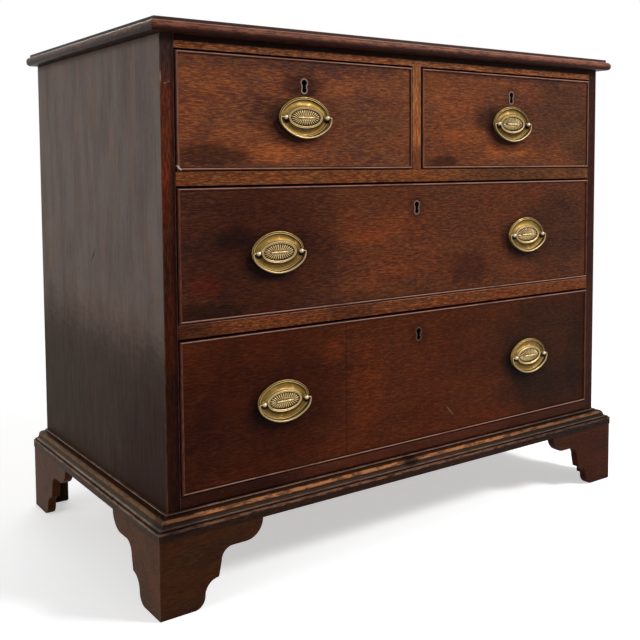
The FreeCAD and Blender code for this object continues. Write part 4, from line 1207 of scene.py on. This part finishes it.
def oval_stations():
    """Every step round the oval: the centre and radius of its arc, and the way it faces."""
    reach, flat_radius, drop, meet = oval_shape(PLATE_HALF_WIDTH, PLATE_HALF_HEIGHT,
                                                PLATE_END_RADIUS)
    arcs = [((reach, 0.0), PLATE_END_RADIUS, -meet, meet, END_ARC_STEPS),
            ((0.0, -drop), flat_radius, meet, math.pi - meet, FLAT_ARC_STEPS),
            ((-reach, 0.0), PLATE_END_RADIUS, math.pi - meet, math.pi + meet, END_ARC_STEPS),
            ((0.0, drop), flat_radius, math.pi + meet, 2 * math.pi - meet, FLAT_ARC_STEPS)]
    stations = []
    for centre, radius, start, end, steps in arcs:
        for step in range(steps):
            stations.append((centre, radius, start + (end - start) * step / steps))
    return stations


OVAL = oval_stations()


def oval_point(station, inset):
    """A step of the oval, moved inwards: near the edge beside it, further in on an ellipse."""
    (across, up), radius, angle = station
    across += (radius - inset) * math.cos(angle)
    up += (radius - inset) * math.sin(angle)
    wide = (PLATE_HALF_WIDTH - inset) * math.cos(angle)
    high = (PLATE_HALF_HEIGHT - inset) * math.sin(angle)
    reach = math.hypot(wide, high)
    share = (inset / MM - ELLIPSE_STARTS) / (ELLIPSE_RULES - ELLIPSE_STARTS)
    share = min(max(share, 0.0), 1.0)
    across += share * (wide * (PLATE_HALF_WIDTH - inset) / reach - across)
    up += share * (high * (PLATE_HALF_HEIGHT - inset) / reach - up)
    return across, up


def flutes(rim):
    """For each step round the field, 0 on the crest of a flute and -1 in its hollow."""
    travelled = [0.0]
    for before, after in zip(rim, rim[1:] + rim[:1]):
        travelled.append(travelled[-1] + math.dist(before, after))
    count = round(travelled[-1] / FLUTE_PITCH)
    turn = 2 * math.pi * count / travelled[-1]
    return [math.cos(turn * gone) / 2 - 0.5 for gone in travelled[:-1]]


def add_ring(bm, hinge, points, previous):
    """One closed ring of points (across, up, out), bridged to the ring before it."""
    made = bmesh.ops.create_circle(bm, segments=len(points), radius=1.0)["verts"]
    for vert, (across, up, out) in zip(made, points):
        vert.co = (hinge.x + across, FACE - out, hinge.z + up)
    edges = edges_of(made)
    if previous:
        bmesh.ops.bridge_loops(bm, edges=previous + edges)
    return edges


def add_plate(bm, hinge):
    """Stamped oval plate: two beads, a hollow band, a stepped ring and a fluted field."""
    ring = None
    for inset, out in PLATE_SECTION:
        points = [(*oval_point(station, inset * MM), out * MM) for station in OVAL]
        ring = add_ring(bm, hinge, points, ring)
    rim = [oval_point(station, FIELD_INSET * MM) for station in OVAL]
    wide = max(across for across, _ in rim)
    high = max(up for _, up in rim)
    narrow_x = BAR_HALF_LENGTH * MM / wide - 1.0
    narrow_z = BAR_HALF_HEIGHT * MM / high - 1.0
    for share, out, depth in FIELD_SECTION:
        points = [(across * (1.0 + narrow_x * share), up * (1.0 + narrow_z * share),
                   (out + depth * hollow) * MM)
                  for hollow, (across, up) in zip(flutes(rim), rim)]
        ring = add_ring(bm, hinge, points, ring)
    bmesh.ops.contextual_create(bm, geom=ring)


def lathe(bm, section, place, axis, steps=28):
    """Turns a section (radius, height) round an axis; height runs along the axis."""
    axis = Vector(axis)
    side = axis.orthogonal().normalized()
    verts = [bm.verts.new(place + axis * (height * MM) + side * (radius * MM))
             for radius, height in section]
    edges = [bm.edges.new(pair) for pair in zip(verts, verts[1:])]
    bmesh.ops.spin(bm, geom=verts + edges, cent=place, axis=axis, angle=2 * math.pi, steps=steps,
                   use_merge=True, use_duplicate=False)


def add_post(bm, across, hinge):
    """Ball-headed post with its collar, and its stem and square nut inside the drawer."""
    seat = Vector((across, FACE, hinge.z))
    ball_out = (FACE - hinge.y) / MM
    section = list(POST_SECTION)
    start = math.asin(section[-1][0] / BALL_RADIUS)
    for step in range(1, BALL_STEPS + 1):
        angle = start + (math.pi - start) * step / BALL_STEPS
        section.append((BALL_RADIUS * math.sin(angle), ball_out - BALL_RADIUS * math.cos(angle)))
    lathe(bm, section, seat, (0, -1, 0))
    inside = Vector((seat.x, FRONT_BACK, seat.z))
    lathe(bm, STEM_SECTION, inside, (0, -1, 0), steps=16)
    nut = bmesh.ops.create_cube(bm, size=1.0)["verts"]
    bmesh.ops.scale(bm, verts=nut, vec=(NUT_SIZE, NUT_THICKNESS, NUT_SIZE))
    bmesh.ops.translate(bm, verts=nut, vec=inside + Vector((0, NUT_THICKNESS / 2, 0)))
    ease_edges(bm, edges_of(nut), NUT_EASE)


def add_handles(drawer):
    """The plates, bars and posts of one drawer, in place of its plain ones."""
    bm = bmesh.new()
    for _, hinge in handle_places(drawer):
        add_plate(bm, hinge)
        level = Vector((hinge.x, FACE - BAR_LEVEL * MM, hinge.z))
        lathe(bm, BAR_SECTION, level, (1, 0, 0), steps=20)
        for post in post_places(hinge):
            add_post(bm, post, hinge)
    bmesh.ops.remove_doubles(bm, verts=bm.verts, dist=SAME_PLACE)
    bmesh.ops.recalc_face_normals(bm, faces=bm.faces)
    mesh = finish_mesh(bm, drawer + "_stamped_handles", 50.0)
    add_piece(drawer + "_stamped_handles", mesh, MATERIALS[drawer + "_plates"], drawer,
              (drawer + "_handles",))
    mesh.materials.append(MATERIALS["knob_brass"])
    posts = [post for _, hinge in handle_places(drawer) for post in post_places(hinge)]
    for face in mesh.polygons:
        beside = min(abs(face.center.x - post) for post in posts) < KNOB_REACH
        face.material_index = int(beside and face.center.y < FACE - KNOB_LEVEL * MM)


# The bail's wire, in metres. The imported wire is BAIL_WIRE thick from its middle line; the
# dressed one is PIN_RADIUS in its posts, CORNER_WIRE at its corners and GRIP_WIRE at the grip.
BAIL_WIRE = 1.7 * MM
BAIL_SHOULDER_RADIUS = 18 * MM
BAIL_CORNER_RADIUS = 1.8 * MM
BAIL_SIDES = 14
PIN_RADIUS = 1.1 * MM
PIN_INNER = 37.3 * MM
PIN_OUTER = 39.9 * MM
NECK_RADIUS = 1.3 * MM
NECK_LENGTH = 0.3 * MM
CORNER_WIRE = 1.15 * MM
GRIP_WIRE = 1.85 * MM


def bail_line(half_width, drop):
    """Right half of the bail's middle line, from its pin down: (across, up, wire radius)."""
    hang = drop - BAIL_CORNER_RADIUS
    reach, low_radius, rise, meet = oval_shape(half_width, hang, BAIL_SHOULDER_RADIUS)
    line = [(PIN_INNER, 0.0, PIN_RADIUS), (PIN_OUTER, 0.0, PIN_RADIUS),
            (PIN_OUTER + NECK_LENGTH, 0.0, NECK_RADIUS)]
    top = -BAIL_CORNER_RADIUS
    arcs = [((half_width - BAIL_CORNER_RADIUS, top), BAIL_CORNER_RADIUS, math.pi / 2, 0.0, 6),
            ((reach, top), BAIL_SHOULDER_RADIUS, 0.0, -meet, 12),
            ((0.0, top + rise), low_radius, -meet, -math.pi / 2, 20)]
    for (across, up), radius, start, end, steps in arcs:
        for step in range(steps + 1):
            angle = start + (end - start) * step / steps
            x = across + radius * math.cos(angle)
            z = up + radius * math.sin(angle)
            fuller = math.sin(min(-z / drop, 1.0) * math.pi / 2)
            line.append((x, z, CORNER_WIRE + (GRIP_WIRE - CORNER_WIRE) * fuller))
    return line


def add_bail(bail, hinge):
    """The bail's wire, slender at its corners and fuller where fingers lift it."""
    low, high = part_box(bail)
    right = bail_line((high.x - low.x) / 2 - BAIL_WIRE, hinge.z - low.z - BAIL_WIRE)
    line = right + [(-across, up, wire) for across, up, wire in reversed(right[:-1])]
    line = [station for index, station in enumerate(line)
            if index == 0 or math.dist(station[:2], line[index - 1][:2]) > SAME_PLACE]
    bm = bmesh.new()
    previous = None
    for index, (across, up, wire) in enumerate(line):
        before, after = line[max(index - 1, 0)], line[min(index + 1, len(line) - 1)]
        ahead = Vector((after[0] - before[0], 0.0, after[1] - before[1])).normalized()
        out = Vector((0.0, 1.0, 0.0))
        place = Matrix.Translation((hinge.x + across, hinge.y, hinge.z + up))
        turn = Matrix((out.cross(ahead), out, ahead)).transposed().to_4x4()
        made = bmesh.ops.create_circle(bm, segments=BAIL_SIDES, radius=wire,
                                       matrix=place @ turn)["verts"]
        ring = edges_of(made)
        if previous:
            bmesh.ops.bridge_loops(bm, edges=previous + ring)
        else:
            bmesh.ops.contextual_create(bm, geom=ring)
        previous = ring
    bmesh.ops.contextual_create(bm, geom=previous)
    bmesh.ops.recalc_face_normals(bm, faces=bm.faces)
    mesh = finish_mesh(bm, bail + "_wire", 60.0)
    add_piece(bail + "_wire", mesh, MATERIALS["bail_brass"], bail, (bail,))


def dress_carcase():
    eased_copy("top", "top", ease=0.0010)
    eased_copy("base_moulding", "base", ease=0.0006)
    for label in ("side_left", "side_right"):
        eased_copy(label, label, front="stile")
    for label in ("top_rail", "upper_rail", "lower_rail", "bottom_rail", "muntin"):
        eased_copy(label, label)
    for corner in ("front_left", "front_right", "back_left", "back_right"):
        eased_copy("foot_" + corner, "foot", ease=0.0009)
    for node in ("back_boards", "bottom_board", "dust_boards"):
        eased_copy(node, "pine")
    eased_copy("drawer_runners", "pine_strip")
    eased_copy("foot_blocks", "foot_block")


def dress_drawers():
    for drawer in DRAWERS:
        eased_copy(drawer + "_front", drawer, ease=0.0004)
        add_bead(drawer)
        for part in ("_sides", "_back"):
            eased_copy(drawer + part, "oak", ease=0.0005)
        eased_copy(drawer + "_bottom", "oak_bottom", ease=0.0005)
        keep_part(drawer + "_lock", "steel")
        keep_part(drawer + "_lock_bolt", "steel")
        keep_part(drawer + "_escutcheon",
                  "dark_key_brass" if drawer == "drawer_bottom" else "key_brass")
        add_handles(drawer)
        for bail, hinge in handle_places(drawer):
            add_bail(bail, hinge)


# ---- studio ----

CAMERA_PLACE = Vector((-0.944315, -1.330000, 0.600360))
CAMERA_AZIMUTH = 35.918
CAMERA_DIP = 3.770
CAMERA_ROLL = -0.285
PICTURE_SIZE = 640.0
FOCAL_PIXELS = 902.25
AXIS_X_PIXEL = 339.84
AXIS_Y_PIXEL = 224.0
SENSOR = 36.0
WHITE = (1, 1, 1, 1)


def add_camera():
    azimuth = math.radians(CAMERA_AZIMUTH)
    dip = math.radians(CAMERA_DIP)
    roll = math.radians(CAMERA_ROLL)
    ahead = Vector((math.sin(azimuth) * math.cos(dip), math.cos(azimuth) * math.cos(dip),
                    -math.sin(dip)))
    level = Vector((math.cos(azimuth), -math.sin(azimuth), 0.0))
    upright = level.cross(ahead)
    right = level * math.cos(roll) + upright * math.sin(roll)
    up = upright * math.cos(roll) - level * math.sin(roll)
    data = bpy.data.cameras.new("camera")
    data.sensor_width = SENSOR
    data.lens = SENSOR * FOCAL_PIXELS / PICTURE_SIZE
    data.shift_x = (PICTURE_SIZE / 2 - AXIS_X_PIXEL) / PICTURE_SIZE
    data.shift_y = (AXIS_Y_PIXEL - PICTURE_SIZE / 2) / PICTURE_SIZE
    data.clip_start = 0.05
    camera = put_in_scene("camera", data)
    turn = Matrix((right, up, -ahead)).transposed().to_4x4()
    camera.matrix_world = Matrix.Translation(CAMERA_PLACE) @ turn
    bpy.context.scene.camera = camera


# The lamps: name, place, what they are aimed at, size in metres and power in watts.
SOFTBOXES = [
    ("key_softbox", (1.5, -1.9, 2.0), (0.0, -0.2, 0.45), (0.7, 0.6), 62),
    ("left_softbox", (-2.6, -0.3, 1.5), (-0.3, 0.0, 0.5), (1.6, 1.6), 22),
    ("back_softbox", (0.6, 2.4, 2.2), (0.0, 0.2, 0.5), (1.8, 1.4), 30)]


def add_softbox(name, place, target, size, power):
    data = bpy.data.lights.new(name, "AREA")
    data.shape = "RECTANGLE"
    data.size, data.size_y = size
    data.energy = power
    lamp = put_in_scene(name, data)
    lamp.location = place
    aim = Vector(target) - Vector(place)
    lamp.rotation_euler = aim.to_track_quat("-Z", "Y").to_euler()


def background_rays(wires):
    """1 for rays that should meet the white background: seen, reflected or passed on."""
    rays = wires.node("LightPath").outputs
    seen = wires.larger(rays["Is Camera Ray"], rays["Is Glossy Ray"])
    return wires.larger(seen, rays["Is Transmission Ray"])


# How strongly the white background lights the chest.
AMBIENT = 0.24


def add_world():
    world = bpy.data.worlds.new("studio")
    bpy.context.scene.world = world
    world.use_nodes = True
    wires = Wiring(world.node_tree)
    background = world.node_tree.nodes["Background"]
    strength = wires.span(background_rays(wires), 0.0, 1.0, AMBIENT, 1.0)
    wires.feed(background.inputs["Strength"], strength)
    background.inputs["Color"].default_value = WHITE


FLOOR_RADIUS = 4.0
FLOOR_GREY = (0.84, 0.84, 0.84, 1)
# How strongly the floor glows by itself near the chest.
FLOOR_LIFT = 0.50
# Between these distances from the middle, in metres, the floor turns into the background.
FLOOR_FADE = (0.9, 2.2)


def add_floor():
    """A pale floor that keeps the shadow of the chest and fades into the white background."""
    bm = bmesh.new()
    bmesh.ops.create_circle(bm, cap_ends=True, segments=96, radius=FLOOR_RADIUS)
    mesh = bpy.data.meshes.new("floor")
    bm.to_mesh(mesh)
    bm.free()
    floor = put_in_scene("floor", mesh)
    material, shader, wires = new_material("pale_floor", FLOOR_GREY)
    shader.inputs["Base Color"].default_value = FLOOR_GREY
    shader.inputs["Roughness"].default_value = 0.9
    shader.inputs["Specular IOR Level"].default_value = 0.0
    shader.inputs["Emission Color"].default_value = WHITE
    rays = background_rays(wires)
    wires.feed(shader.inputs["Emission Strength"], wires.times(rays, FLOOR_LIFT))
    glow = wires.node("Emission", {"Color": WHITE})
    wires.feed(glow.inputs["Strength"], wires.span(rays, 0.0, 1.0, 0.5, 1.0))
    far = wires.length(wires.place())
    fade = wires.node("MixShader", {0: wires.span(far, *FLOOR_FADE)})
    wires.tree.links.new(shader.outputs[0], fade.inputs[1])
    wires.tree.links.new(glow.outputs[0], fade.inputs[2])
    output = wires.tree.nodes["Material Output"]
    wires.tree.links.new(fade.outputs[0], output.inputs["Surface"])
    mesh.materials.append(material)


def add_studio():
    add_camera()
    add_world()
    add_floor()
    for softbox in SOFTBOXES:
        add_softbox(*softbox)
    bpy.context.scene.view_settings.view_transform = "Standard"


add_studio()
dress_carcase()
dress_drawers()
